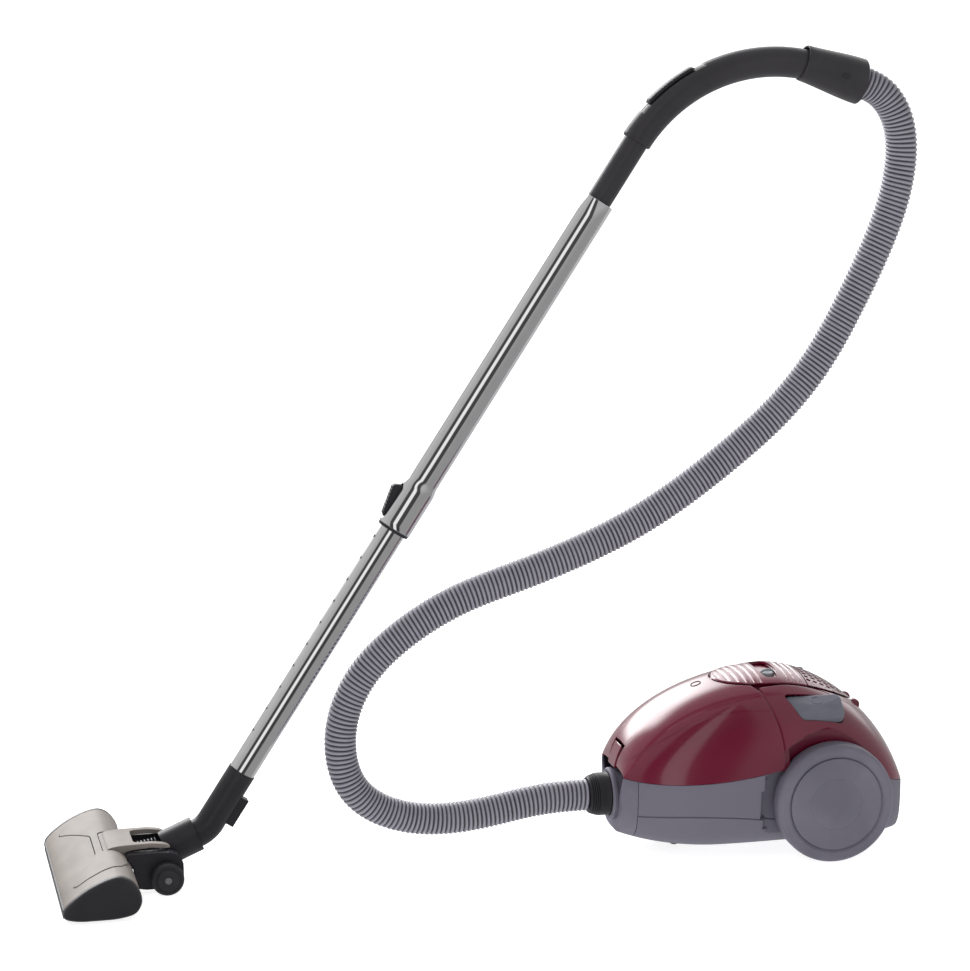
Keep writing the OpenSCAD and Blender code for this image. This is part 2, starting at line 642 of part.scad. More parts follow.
module reel_spindle() {
    color("#6c6a74") translate([nose_x + reel_x, reel_y + reel_w / 2 + 5, reel_z]) rotate([90, 0, 0]) {
        cylinder(d = 30, h = 4);
        cylinder(d = spindle_d, h = reel_w + 4);
    }
}
module exhaust_filter() {
    color("#e0e0dc") translate([nose_x + panel_split + 32, 0, 176]) rotate([0, 18, 0])
        translate([-22, -32, -12]) cube([44, 64, 8]);
}
module circuit_board() {
    color("#2f6f44") translate([nose_x + knob_x, 0, 0]) {
        translate([-14, -42, 186]) cube([34, 84, 1.6]);
        translate([-5, -34, 187.6]) cube([10, 50, 5]);
    }
}
module cord_outlet() {
    color("#303034") translate([nose_x + can_l - 7, 0, outlet_z]) rotate([0, 90, 0]) rotate_extrude()
        polygon([[5, 0], [16, 0], [16, 3], [12.6, 3], [12.6, 8], [5, 8]]);
}

// ---------------------------------------------------------------- hose

module hose_cuff() {
    color("#262629") translate([nose_x - cuff_l, 0, inlet_z]) rotate([0, 90, 0]) rotate_extrude($fn = 64)
        polygon([[16, 0], [hose_d / 2 + 3, 0], [cuff_d / 2 - 2, 4], [cuff_d / 2, 8], [cuff_d / 2, cuff_l - 8],
            [cuff_d / 2 + 0.6, cuff_l - 6.8], [cuff_d / 2 - 3, cuff_l - 6.4], [cuff_d / 2 - 3, cuff_l + 12],
            [16, cuff_l + 12]]);
}

module hose() {
    per = 2;
    sides = 12;
    n = per * route_n;
    pts = [for (i = [0:n]) let (p = spline(i / per), d = spline_dir(i / per))
        for (j = [0:sides - 1]) let (a = 360 * j / sides, r = hose_d / 2)
            [p[0] - d[1] * r * cos(a), r * sin(a), p[1] + d[0] * r * cos(a)]];
    walls = [for (i = [0:n - 1]) for (j = [0:sides - 1]) let (k = (j + 1) % sides)
        each [[i * sides + j, i * sides + k, (i + 1) * sides + k],
            [i * sides + j, (i + 1) * sides + k, (i + 1) * sides + j]]];
    caps = [[for (j = [sides - 1:-1:0]) j], [for (j = [0:sides - 1]) n * sides + j]];
    color("#8c8a96") polyhedron(points = pts, faces = concat(walls, caps), convexity = 12);
}

module hose_end_ring() {
    color("#3a3a40") on_end(12) rotate_extrude($fn = 64)
        polygon([[hose_d / 2 - 4, 0], [ring_d / 2 - 1, 0], [ring_d / 2, 1], [ring_d / 2, 8], [ring_d / 2 + 2, 8],
            [ring_d / 2 + 2, 12], [ring_d / 2, 12], [ring_d / 2, 34], [hose_d / 2 - 4, 34]]);
}

// ---------------------------------------------------------------- handle

module hose_end_housing() {
    back = 27;
    color("#3e3c40") difference() {
        on_end(-back) rotate_extrude($fn = 64) polygon([[0, 0], [21, 0], [21.5, 1], [27, back + housing_l - 1],
            [26, back + housing_l], [0, back + housing_l]]);
        on_arc(30, -arc_end - 0.4) scale([(grip_t + 1.2) / (grip_w + 1.2), 1]) circle(d = grip_w + 1.2, $fn = 48);
        on_end(1) cylinder(d = grip_w + 1.6, h = 6);
        on_end(6) cylinder(d = ring_d + 2 * run_fit, h = 80, $fn = 64);
        on_end(20 - 0.3) cylinder(d = ring_d + 4 + 2 * gap, h = 4.6, $fn = 64);
    }
}

module grip_section(y_side) {
    difference() {
        scale([grip_t / grip_w, 1]) circle(d = grip_w, $fn = 48);
        circle(d = duct_d + 2 * 0.05, $fn = 48);
        translate([-50, y_side > 0 ? -50 + 0.15 : -0.15]) square([100, 50]);
    }
}
slider_from = 45;
slider_to = 27;
module slider_cut(grow) {
    on_arc(slider_from + grow, slider_to - grow)
        translate([grip_t / 2 - 1.4, -8 - grow * 0.5]) square([12, 16 + grow]);
}
module grip_half(y_side) {
    color("#3e3c40") difference() {
        on_arc(wand_angle, -arc_end) grip_section(y_side);
        slider_cut(3.2);
    }
}
module grip_left_half() { grip_half(1); }
module grip_right_half() { grip_half(-1); }

module air_duct() {
    color("#343236") union() {
        on_arc(wand_angle, -arc_end) difference() {
            circle(d = duct_d, $fn = 48);
            circle(d = duct_d - 4, $fn = 48);
        }
        on_wand(wand_l - 44) rotate_extrude() polygon([[duct_d / 2 - 1.8, 0], [upper_id / 2 - 0.05, 0],
            [upper_id / 2 - 0.05, 44.4], [duct_d / 2 - 0.1, 44.4], [duct_d / 2 - 0.1, 45 + grip_lead],
            [duct_d / 2 - 1.8, 45 + grip_lead]]);
    }
}

module suction_slider() {
    color("#2c2b2e") on_arc(slider_from, slider_to)
        translate([grip_t / 2 - 1, -7.5]) polygon([[0, 0], [2.5, 0], [4.5, 3], [4.5, 12], [2.5, 15], [0, 15]]);
}

// ---------------------------------------------------------------- wand

module upper_tube() {
    ci = collar_d / 2 - tube_wall;
    top = wand_l - collar_t;
    color("#d0d0d4") on_wand(collar_t) difference() {
        rotate_extrude($fn = 64) polygon([[ci, 0], [collar_d / 2, 0], [collar_d / 2, collar_l],
            [upper_d / 2, collar_l + cone_l], [upper_d / 2, top], [upper_id / 2, top],
            [upper_id / 2, collar_l + cone_l], [ci, collar_l]]);
        translate([-collar_d / 2, 0, 27.5]) cube([14, 10.8, 44], center = true);
    }
}
module tube_guide() {
    color("#1e1e22") on_wand(collar_t - 4) difference() {
        rotate_extrude($fn = 64) polygon([[lower_d / 2 + run_fit, 0], [collar_d / 2, 0], [collar_d / 2 + 0.6, 3.6],
            [collar_d / 2 - tube_wall - run_fit, 3.8], [collar_d / 2 - tube_wall - run_fit, 52],
            [lower_d / 2 + run_fit, 52]]);
        translate([-collar_d / 2, 0, 31.5]) cube([14, 11, 44.4], center = true);
    }
}
module tube_latch_button() {
    color("#2a2a2e") on_wand(collar_t + 8) translate([-collar_d / 2, 5, 0]) rotate([90, 0, 0])
        linear_extrude(10) polygon([[0, -2], [-3.4, 0], [-4, 2], [-10.3, 33], [-9, 36], [-1, 40], [0, 38]]);
}

notch_n = 10;
module lower_tube() {
    color("#c8c8cc") on_wand(elbow_top) difference() {
        pipe(lower_d, lower_id, lower_show + lower_inner);
        for (k = [0:notch_n - 1]) translate([-lower_d / 2, 0, lower_show - 20 - 30 * k]) rotate([90, 0, 0])
            cylinder(d = 3, h = 8, center = true, $fn = 24);
    }
}

module elbow() {
    turn = wand_angle - neck_angle;
    t0 = elbow_r * tan(turn / 2);
    color("#2d2b30") union() {
        on_wand(t0 - 1) rotate_extrude() polygon([[lower_id / 2 - 1.7, 0], [elbow_d / 2 - 0.1, 0],
            [elbow_d / 2 - 0.1, elbow_top - t0 + 0.9], [lower_id / 2 - 0.05, elbow_top - t0 + 0.9],
            [lower_id / 2 - 0.05, elbow_top - t0 + spigot_l], [lower_id / 2 - 1.7, elbow_top - t0 + spigot_l]]);
        on_wand(t0) translate([-elbow_r, 0, 0]) rotate([90, 0, 0]) rotate([0, 0, -turn])
            rotate_extrude(angle = turn, $fn = 96) translate([elbow_r, 0]) difference() {
                circle(d = elbow_d, $fn = 48);
                circle(d = lower_id - 3.6, $fn = 48);
            }
        on_neck(neck_face - 22) rotate_extrude() polygon([[lower_id / 2 - 1.7, 0], [elbow_d / 2 - 0.1, 0],
            [elbow_d / 2 - 0.1, 4], [elbow_d / 2 + 1.7, 4], [elbow_d / 2 + 1.7, 8], [elbow_d / 2 - 0.1, 8],
            [elbow_d / 2 - 0.1, neck_bend - t0 - neck_face + 23], [lower_id / 2 - 1.7, neck_bend - t0 - neck_face + 23]]);
        on_wand(18) translate([elbow_d / 2 - 2, -7, 0]) cube([10, 14, 36]);
    }
}

// ---------------------------------------------------------------- floor head

module neck() {
    color("#2d2b30") difference() {
        union() {
            translate([axle_x, barrel_w / 2, axle_z]) rotate([90, 0, 0]) cylinder(d = barrel_d, h = barrel_w);
            on_neck(4) cylinder(d = neck_d, h = neck_face - 4, $fn = 64);
            translate([axle_x - 4, -14, axle_z]) cube([26, 28, 24]);
        }
        translate([axle_x, 60, axle_z]) rotate([90, 0, 0]) cylinder(d = 8 + 2 * run_fit, h = 120);
        on_neck(neck_face - 22.4) cylinder(d = elbow_d + 2 * run_fit, h = 60, $fn = 64);
        on_neck(neck_face - 18.3) cylinder(d = elbow_d + 3.4 + 2 * run_fit, h = 4.6, $fn = 64);
        on_neck(10) cylinder(d = lower_id - 6, h = 40);
    }
}

module neck_spring() {
    color("#d4d4d8") translate([axle_x - 35, 0, axle_z + 26]) rotate([0, 82, 0]) coil(4.6, 1.2, 7, 30);
}

// side profile of the floor head, inset by t, as [x, z] from the axle
function head_profile(t) = [[-head_front + t, 7 + t * 0.5], [-head_front + 18, 3 + t], [-68, 3 + t],
    [-46, 7 + t], [-38 - t, 20], [-40 - t, 34], [-50 - t * 0.7, head_h - 6 - t], [-62, head_h - t],
    [-78, head_h - 3 - t], [-100, head_h * 0.76 - t], [-118, head_h * 0.52 - t],
    [-head_front + t, head_h * 0.32]];
module head_bar(t, y0, y1) {
    translate([axle_x, y1, 0]) rotate([90, 0, 0]) linear_extrude(y1 - y0) polygon(head_profile(t));
}
split_z = 24;

module above_split(lift) {
    translate([axle_x - head_front - 5, head_w, 0])
        rotate([90, 0, 0]) linear_extrude(2 * head_w)
            polygon([[0, 16 + lift], [60, split_z + 2 + lift], [60, 100], [0, 100]]);
    translate([axle_x - head_front + 54.9, -head_w, split_z + 2 + lift]) cube([80, 2 * head_w, 80]);
}
cap_w = 16;
module head_hollow() {
    head_bar(2.4, -head_w / 2 + cap_w, head_w / 2 - cap_w);
}

// outline of the rocker pedal seen from above, grown by g: two wings joined by a narrow waist
rocker_x = -77;
rocker_z = head_h - 9;
function wing(g) = [[-73 + g, 36 - g], [-47 + g, 36 - g], [-47 + g, 64], [-58, 92 + g], [-108 - g, 101 + g],
    [-113 - g, 95], [-81 - g, 34]];
function bow_tie(g) = let (w = wing(g), last = len(w) - 1) concat(w, [for (i = [last:-1:0]) [w[i][0], -w[i][1]]]);
module pedal_hole(grow) {
    translate([axle_x, 0, 15]) linear_extrude(60) polygon(bow_tie(grow));
}

bridge_w = 64;
rail_w = 9;
module bridge() {
    translate([axle_x, bridge_w / 2, 0]) rotate([90, 0, 0]) linear_extrude(bridge_w)
        polygon([[-71.5, head_h - 5], [-66, head_h + 1], [-52, head_h + 3], [-16, head_h + 3.5], [0, head_h + 1.5],
            [7, head_h - 2.5], [3, head_h - 4], [-16, head_h - 2], [-40, head_h - 3.5], [-52, head_h - 8]]);
}
module head_cover() {
    color("#a0988f") difference() {
        union() {
            intersection() {
                difference() {
                    head_bar(0, -head_w / 2 + cap_w - 6, head_w / 2 - cap_w + 6);
                    head_bar(2.4, -head_w, head_w);
                }
                above_split(0.15);
            }
            bridge();
        }
        translate([axle_x - 36, -bridge_w / 2 + rail_w, 30]) cube([60, bridge_w - 2 * rail_w, 60]);
        pedal_hole(1);
    }
}
// side outline of the cheeks that carry the axle
cheek = [[-45, 9], [-37, 20], [-38.6, 34], [-47, 46.5], [-44, head_h - 5.2], [3, head_h - 5.2],
    [14, head_h - 9], [20, 34], [20, 14], [13, 5], [-24, 5]];
module head_base() {
    color("#2d2b30") difference() {
        union() {
            difference() {
                head_bar(0, -head_w / 2 + cap_w - 6, head_w / 2 - cap_w + 6);
                above_split(-0.15);
                head_hollow();
            }
            for (s = [-1, 1]) translate([axle_x, s > 0 ? barrel_w / 2 + 14 : -barrel_w / 2 - 1, 0])
                rotate([90, 0, 0]) linear_extrude(13) polygon(cheek);
        }
        translate([axle_x, 80, axle_z]) rotate([90, 0, 0]) cylinder(d = 8 + 0.04, h = 160);
        translate([axle_x - 112, -head_w / 2 + 20, -1]) cube([34, head_w - 40, 14]);
        translate([axle_x - 60, -14, 12]) cube([24, 28, 18]);
    }
}
module sole_plate() {
    color("#b4b4b8") difference() {
        translate([axle_x - head_front + 19, -head_w / 2 + 12, 1]) cube([head_front - 68 - 20, head_w - 24, 1.8]);
        translate([axle_x - 100, -head_w / 2 + 30, 0]) cube([14, head_w - 60, 5]);
        for (x = [-105.5, -81]) translate([axle_x + x, -head_w / 2 + 22, 0]) cube([3.5, head_w - 44, 5]);
    }
}
module head_end_caps() {
    color("#2d2b30") for (s = [-1, 1]) difference() {
        head_bar(-0.2, s > 0 ? head_w / 2 - cap_w + 6.2 : -head_w / 2, s > 0 ? head_w / 2 : -head_w / 2 + cap_w - 6.2);
        translate([axle_x - 140, -head_w, -1]) cube([140, 2 * head_w, 1]);
    }
}
module floor_pedal() {
    color("#8e867c") union() {
        intersection() {
            translate([axle_x, 0, 20]) linear_extrude(head_h) polygon(bow_tie(0));
            difference() {
                head_bar(-0.8, -head_w / 2, head_w / 2);
                head_bar(3.4, -head_w, head_w);
            }
        }
        translate([axle_x + rocker_x, 30, rocker_z]) rotate([90, 0, 0]) cylinder(d = 8, h = 60);
    }
}
module brush_strips() {
    color("#1c1c20") for (x = [-105, -80.5])
        translate([axle_x + x, -head_w / 2 + 23, 0]) {
            translate([0, 0, 0.6]) cube([2.5, head_w - 46, 10]);
            translate([-2.5, 2, 6]) cube([7, head_w - 50, 4]);
        }
}
module head_axle() {
    color("#c0c0c4") translate([axle_x, barrel_w / 2 + 30, axle_z]) rotate([90, 0, 0])
        cylinder(d = 8, h = barrel_w + 60);
}
module head_roller(s) {
    color("#2a2a2e") translate([axle_x, s * (barrel_w / 2 + 15), axle_z]) rotate([-90 * s, 0, 0])
        difference() {
            rotate_extrude($fn = 72) polygon([[4 + run_fit, 0], [roller_d / 2 - 1, 0], [roller_d / 2, 1],
                [roller_d / 2, 11], [roller_d / 2 - 2, 13], [12, 13], [11, 14.5], [4 + run_fit, 14.5]]);
        }
}
module left_roller() { head_roller(1); }
module right_roller() { head_roller(-1); }

lower_shell();
nose_piece();
lid();
rear_cover();
top_panel();
exhaust_grille();
suction_knob();
bag_full_window();
lid_latch();
lid_hinge_arms();
inner_brackets();
power_pedal();
rewind_pedal();
pedal_springs();
axle_stubs();
left_wheel();
right_wheel();
left_wheel_cap();
right_wheel_cap();
caster_socket();
caster_fork();
caster_wheel();
inlet_ring();
dust_bag();
bag_holder();
bulkhead();
motor_filter();
fan_cover();
motor_can();
motor_stator();
motor_rotor();
cord_reel();
reel_spindle();
exhaust_filter();
circuit_board();
cord_outlet();
hose_cuff();
hose();
hose_end_ring();
hose_end_housing();
grip_left_half();
grip_right_half();
air_duct();
suction_slider();
upper_tube();
tube_guide();
tube_latch_button();
lower_tube();
elbow();
neck();
neck_spring();
head_cover();
head_base();
sole_plate();
head_end_caps();
floor_pedal();
brush_strips();
head_axle();
left_roller();
right_roller();
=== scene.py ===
"""Dresses the canister vacuum cleaner: finer shells, grip, hose and floor head, materials, light and camera.

Sizes are millimetres in the row frame until a mesh is made, where they turn into metres.
"""

import logging
import math
from dataclasses import dataclass
from enum import Enum
from typing import Optional, Sequence

import bmesh
import bpy
import numpy as np
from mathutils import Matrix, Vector


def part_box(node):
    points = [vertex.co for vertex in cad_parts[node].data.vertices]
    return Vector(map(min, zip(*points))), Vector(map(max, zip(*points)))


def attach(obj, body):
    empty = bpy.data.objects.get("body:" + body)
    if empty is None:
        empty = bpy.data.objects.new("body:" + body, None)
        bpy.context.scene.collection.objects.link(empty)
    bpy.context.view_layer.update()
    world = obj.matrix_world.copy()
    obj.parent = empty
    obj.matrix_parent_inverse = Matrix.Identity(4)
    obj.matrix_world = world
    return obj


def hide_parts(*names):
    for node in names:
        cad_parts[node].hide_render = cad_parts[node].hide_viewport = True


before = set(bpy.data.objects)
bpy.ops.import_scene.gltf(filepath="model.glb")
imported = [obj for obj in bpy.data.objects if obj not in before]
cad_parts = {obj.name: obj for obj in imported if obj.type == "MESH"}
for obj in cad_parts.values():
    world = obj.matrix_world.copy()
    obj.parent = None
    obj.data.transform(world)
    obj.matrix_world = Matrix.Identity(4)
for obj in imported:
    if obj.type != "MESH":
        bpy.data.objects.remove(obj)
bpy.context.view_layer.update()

log = logging.getLogger("canister_vacuum")
MM = 0.001
Grid = np.ndarray


# ------------------------------------------------------------------ sizes


@dataclass(frozen=True)
class Sizes:
    """Driving sizes of the machine, the same as in the part's source."""

    can_l: float = 350.0
    can_h: float = 216.0
    can_w: float = 208.0
    wheel_d: float = 146.0
    wheel_w: float = 24.0
    seam: float = 0.6
    stance: float = 549.0
    wand_angle: float = 57.0
    wand_l: float = 870.0
    upper_d: float = 35.0
    lower_show: float = 339.0
    elbow_top: float = 81.0
    grip_r: float = 198.0
    grip_t: float = 35.5
    grip_w: float = 36.0
    grip_lead: float = 82.0
    arc_end: float = 18.0
    hose_d: float = 38.0
    head_w: float = 270.0
    head_h: float = 54.0
    head_front: float = 128.0
    roller_d: float = 38.0
    neck_angle: float = 23.0
    neck_rise: float = 19.0
    neck_bend: float = 57.0
    floor_gap: float = 10.0
    nose_lift: float = 16.0
    cuff_l: float = 32.0
    cuff_d: float = 52.0
    gap: float = 0.4

    @property
    def axle_x(self) -> float:
        """Place of the floor head's axle along the machine."""
        return self.head_front - (self.head_front + self.stance + self.can_l) / 2

    @property
    def nose_x(self) -> float:
        """Place of the canister's nose along the machine."""
        return self.axle_x + self.stance

    @property
    def wheel_x(self) -> float:
        """Distance of the rear wheels' axle from the nose."""
        return 0.705 * self.can_l

    @property
    def nose_belt(self) -> float:
        """Height of the widest line at the nose."""
        return 0.48 * self.can_h

    @property
    def rear_belt(self) -> float:
        """Height of the widest line at the back."""
        return 0.37 * self.can_h

    @property
    def crest_x(self) -> float:
        """Distance of the highest point from the nose."""
        return 0.56 * self.can_l

    @property
    def seam_x(self) -> float:
        """Distance of the seam between lid and rear cover from the nose."""
        return 0.53 * self.can_l

    @property
    def knob_x(self) -> float:
        """Distance of the suction knob from the nose."""
        return 0.54 * self.can_l

    @property
    def hinge_z(self) -> float:
        """Height of the lid's hinge line."""
        return self.can_h - 14

    @property
    def well_y(self) -> float:
        """Half width of the body between the rear wheels."""
        return self.can_w / 2 + 14 - self.wheel_w - 3

    @property
    def inlet_z(self) -> float:
        """Height of the hose inlet."""
        return 0.32 * self.can_h

    @property
    def bend(self) -> np.ndarray:
        """Corner between the neck's line and the wand's line."""
        angle = math.radians(self.neck_angle)
        x = self.axle_x + self.neck_bend * math.cos(angle)
        return np.array([x, 0, self.roller_d / 2 + self.neck_rise + self.neck_bend * math.sin(angle)])

    @property
    def wand_dir(self) -> np.ndarray:
        """Direction up the wand."""
        angle = math.radians(self.wand_angle)
        return np.array([math.cos(angle), 0, math.sin(angle)])

    @property
    def arc_centre(self) -> np.ndarray:
        """Centre of the grip's arc."""
        angle = math.radians(self.wand_angle)
        start = self.bend + (self.wand_l + self.grip_lead) * self.wand_dir
        return start + self.grip_r * np.array([math.sin(angle), 0, -math.cos(angle)])

    @property
    def end_dir(self) -> np.ndarray:
        """Direction in which the hose leaves the grip."""
        angle = math.radians(self.arc_end)
        return np.array([math.cos(angle), 0, -math.sin(angle)])

    @property
    def grip_end(self) -> np.ndarray:
        """Middle of the grip's hose end."""
        angle = math.radians(self.arc_end)
        return self.arc_centre + self.grip_r * np.array([math.sin(angle), 0, math.cos(angle)])


SIZE = Sizes()


# ------------------------------------------------------------------ meshes


def mix(a: Grid, b: Grid, f: Grid) -> Grid:
    """Blends from a to b as f goes from 0 to 1."""
    return a + (b - a) * f


def smooth_step(value: Grid, start: float, end: float) -> Grid:
    """Rises smoothly from 0 at start to 1 at end."""
    t = np.clip((value - start) / (end - start), 0, 1)
    return t * t * (3 - 2 * t)


def make_mesh(
    name: str, points: Grid, faces: Sequence[Sequence[int]], sharp: float = 40.0
) -> bpy.types.Object:
    """Makes a smooth-shaded object from points in millimetres.

    Args:
        name: the piece's name.
        points: one row of x, y, z for each vertex.
        faces: lists of vertex numbers.
        sharp: edges that turn by more than this many degrees stay sharp.

    Returns:
        The new object, linked to the scene.
    """
    mesh = bpy.data.meshes.new(name)
    mesh.from_pydata((np.asarray(points, float) * MM).tolist(), [], [list(map(int, f)) for f in faces])
    mesh.update()
    mesh.shade_smooth()
    mesh.set_sharp_from_angle(angle=math.radians(sharp))
    piece = bpy.data.objects.new(name, mesh)
    bpy.context.scene.collection.objects.link(piece)
    return piece


def grid_faces(rows: int, cols: int, wrap: bool, first: int = 0) -> np.ndarray:
    """Quads of a grid of vertices; wrap joins the last column to the first."""
    i, j = np.meshgrid(np.arange(rows - 1), np.arange(cols if wrap else cols - 1), indexing="ij")
    k = (j + 1) % cols
    quads = np.stack([i * cols + j, i * cols + k, (i + 1) * cols + k, (i + 1) * cols + j], -1)
    return quads.reshape(-1, 4) + first


def surface(
    name: str, grid: Grid, wrap: bool = False, caps: bool = False, flip: bool = False, sharp: float = 40.0
) -> bpy.types.Object:
    """Makes a piece from a grid of points.

    Args:
        name: the piece's name.
        grid: rows x columns x 3.
        wrap: the columns form closed rings.
        caps: closes both end rings with a fan round a middle point.
        flip: turns the faces over.
        sharp: the angle above which an edge stays sharp.

    Returns:
        The new object.
    """
    rows, cols = grid.shape[:2]
    points = grid.reshape(-1, 3)
    faces = grid_faces(rows, cols, wrap).tolist()
    if caps:
        points = np.vstack([points, grid[0].mean(0), grid[-1].mean(0)])
        n = rows * cols
        last = (rows - 1) * cols
        faces += [[n, (j + 1) % cols, j] for j in range(cols)]
        faces += [[n + 1, last + j, last + (j + 1) % cols] for j in range(cols)]
    if flip:
        faces = [f[::-1] for f in faces]
    return make_mesh(name, points, faces, sharp)


def thicken(piece: bpy.types.Object, wall: float, inward: bool = True) -> bpy.types.Object:
    """Gives a sheet a wall in millimetres, and a small bevel along its rim."""
    solid = piece.modifiers.new("wall", "SOLIDIFY")
    solid.thickness = wall * MM
    solid.offset = -1 if inward else 1
    solid.use_even_offset = False
    solid.use_quality_normals = True
    return soften(piece, 0.35)


def soften(piece: bpy.types.Object, width: float, angle: float = 40.0) -> bpy.types.Object:
    """Rounds sharp edges by a width in millimetres."""
    bevel = piece.modifiers.new("edges", "BEVEL")
    bevel.width = width * MM
    bevel.segments = 2
    bevel.limit_method = "ANGLE"
    bevel.angle_limit = math.radians(angle)
    bevel.harden_normals = False
    return piece


def frame_axes(direction: Grid) -> tuple[np.ndarray, np.ndarray]:
    """Two directions square to a direction that lies in the machine's middle plane or across it."""
    direction = direction / np.linalg.norm(direction)
    side = np.array([0.0, 1.0, 0.0]) if abs(direction[1]) < 0.9 else np.array([1.0, 0.0, 0.0])
    up = np.cross(direction, side)
    return side, up / np.linalg.norm(up)


def revolve(
    name: str, profile: Sequence[tuple[float, float]], origin: Grid, axis: Grid, sides: int = 96,
    sharp: float = 32.0,
) -> bpy.types.Object:
    """Turns a profile of (radius, distance along the axis) about an axis.

    Args:
        name: the piece's name.
        profile: points in order along the outline; a closed outline repeats its first point.
        origin: the point on the axis where distances start.
        axis: direction of the axis.
        sides: points round the axis.
        sharp: the angle above which an edge stays sharp.

    Returns:
        The new object.
    """
    axis = np.asarray(axis, float) / np.linalg.norm(axis)
    side, up = frame_axes(axis)
    angle = 2 * np.pi * np.arange(sides) / sides
    ring = np.cos(angle)[:, None] * side + np.sin(angle)[:, None] * up
    path = np.array(profile, float)
    radius, along = path[:, 0][:, None, None], path[:, 1][:, None, None]
    grid = np.asarray(origin)[None, None] + radius * ring + along * axis
    piece = surface(name, grid, wrap=True, sharp=sharp)
    tidy_mesh(piece)
    return piece


def tidy_mesh(piece: bpy.types.Object, sharp: float = 32.0) -> None:
    """Merges doubled points, drops flat faces and points every face outwards."""
    work = bmesh.new()
    work.from_mesh(piece.data)
    bmesh.ops.remove_doubles(work, verts=work.verts, dist=1e-6)
    bmesh.ops.dissolve_degenerate(work, dist=1e-7, edges=work.edges)
    bmesh.ops.recalc_face_normals(work, faces=work.faces)
    work.to_mesh(piece.data)
    work.free()
    piece.data.shade_smooth()
    piece.data.set_sharp_from_angle(angle=math.radians(sharp))


def prism(
    name: str, outline: Grid, origin: Grid, u: Grid, v: Grid, w: Grid, low: float, high: float
) -> bpy.types.Object:
    """Extrudes a flat outline.

    Args:
        name: the piece's name.
        outline: (u, v) points in order.
        origin: the outline's own zero point.
        u: direction of the outline's first number.
        v: direction of its second number.
        w: direction of the extrusion.
        low: where the extrusion starts along w.
        high: where it ends.

    Returns:
        The new object with a solid of that outline.
    """
    u, v, w = (np.asarray(d, float) for d in (u, v, w))
    flat = np.asarray(origin) + outline[:, :1] * u + outline[:, 1:2] * v
    n = len(outline)
    points = np.vstack([flat + low * w, flat + high * w])
    faces = [list(range(n))[::-1], list(range(n, 2 * n))]
    faces += [[j, (j + 1) % n, n + (j + 1) % n, n + j] for j in range(n)]
    piece = make_mesh(name, points, faces)
    tidy_mesh(piece, 40.0)
    return piece


def rounded_rect(length: float, width: float, radius: float, steps: int = 8) -> Grid:
    """Outline of a rectangle with round corners, about its middle."""
    corner = np.arange(steps + 1) * (np.pi / 2) / steps
    points = []
    for quarter in range(4):
        angle = quarter * np.pi / 2 + corner
        sx = 1 if quarter in (0, 3) else -1
        sy = 1 if quarter in (0, 1) else -1
        middle = np.array([sx * (length / 2 - radius), sy * (width / 2 - radius)])
        points.append(middle + radius * np.stack([np.cos(angle), np.sin(angle)], -1))
    return np.vstack(points)


def join(name: str, pieces: Sequence[bpy.types.Object]) -> bpy.types.Object:
    """Joins several new meshes into one object."""
    points, faces, first = [], [], 0
    for piece in pieces:
        mesh = piece.data
        co = np.empty(len(mesh.vertices) * 3)
        mesh.vertices.foreach_get("co", co)
        points.append(co.reshape(-1, 3) / MM)
        faces += [[first + v for v in p.vertices] for p in mesh.polygons]
        first += len(mesh.vertices)
        bpy.data.objects.remove(piece)
    return make_mesh(name, np.vstack(points), faces)


# ------------------------------------------------------------------ shader graph


class Value:
    """One shader socket that takes part in Python arithmetic."""

    def __init__(self, graph: "Graph", socket: bpy.types.NodeSocket) -> None:
        """Keeps the graph and the output socket."""
        self.graph = graph
        self.socket = socket

    def _with(self, operation: str, first: object, second: object) -> "Value":
        """A Math node of two operands."""
        return self.graph.math(operation, first, second)

    def __add__(self, other: object) -> "Value":
        """Sum."""
        return self._with("ADD", self, other)

    __radd__ = __add__

    def __mul__(self, other: object) -> "Value":
        """Product."""
        return self._with("MULTIPLY", self, other)

    __rmul__ = __mul__

    def __sub__(self, other: object) -> "Value":
        """Difference."""
        return self._with("SUBTRACT", self, other)

    def __rsub__(self, other: object) -> "Value":
        """Difference, the other way round."""
        return self._with("SUBTRACT", other, self)

    def __truediv__(self, other: object) -> "Value":
        """Quotient."""
        return self._with("DIVIDE", self, other)

    def __rtruediv__(self, other: object) -> "Value":
        """Quotient, the other way round."""
        return self._with("DIVIDE", other, self)

    def __pow__(self, other: object) -> "Value":
        """Power."""
        return self._with("POWER", self, other)

    def __abs__(self) -> "Value":
        """Distance from zero."""
        return self._with("ABSOLUTE", self, 0.0)

    def above(self, edge: float) -> "Value":
        """1 where the value is above an edge, else 0."""
        return self._with("GREATER_THAN", self, edge)

    def ramp(self, low: float, high: float) -> "Value":
        """Runs smoothly from 0 at low to 1 at high."""
        settings = {"interpolation_type": "SMOOTHSTEP"}
        return self.graph.node("ShaderNodeMapRange", settings, {"Value": self, 1: low, 2: high}).out("Result")


class NodeBox:
    """A shader node, with its outputs as values."""

    def __init__(self, graph: "Graph", node: bpy.types.Node) -> None:
        """Keeps the graph and the node."""
        self.graph = graph
        self.node = node

    def out(self, name: str) -> Value:
        """The output of that name."""
        return Value(self.graph, self.node.outputs[name])


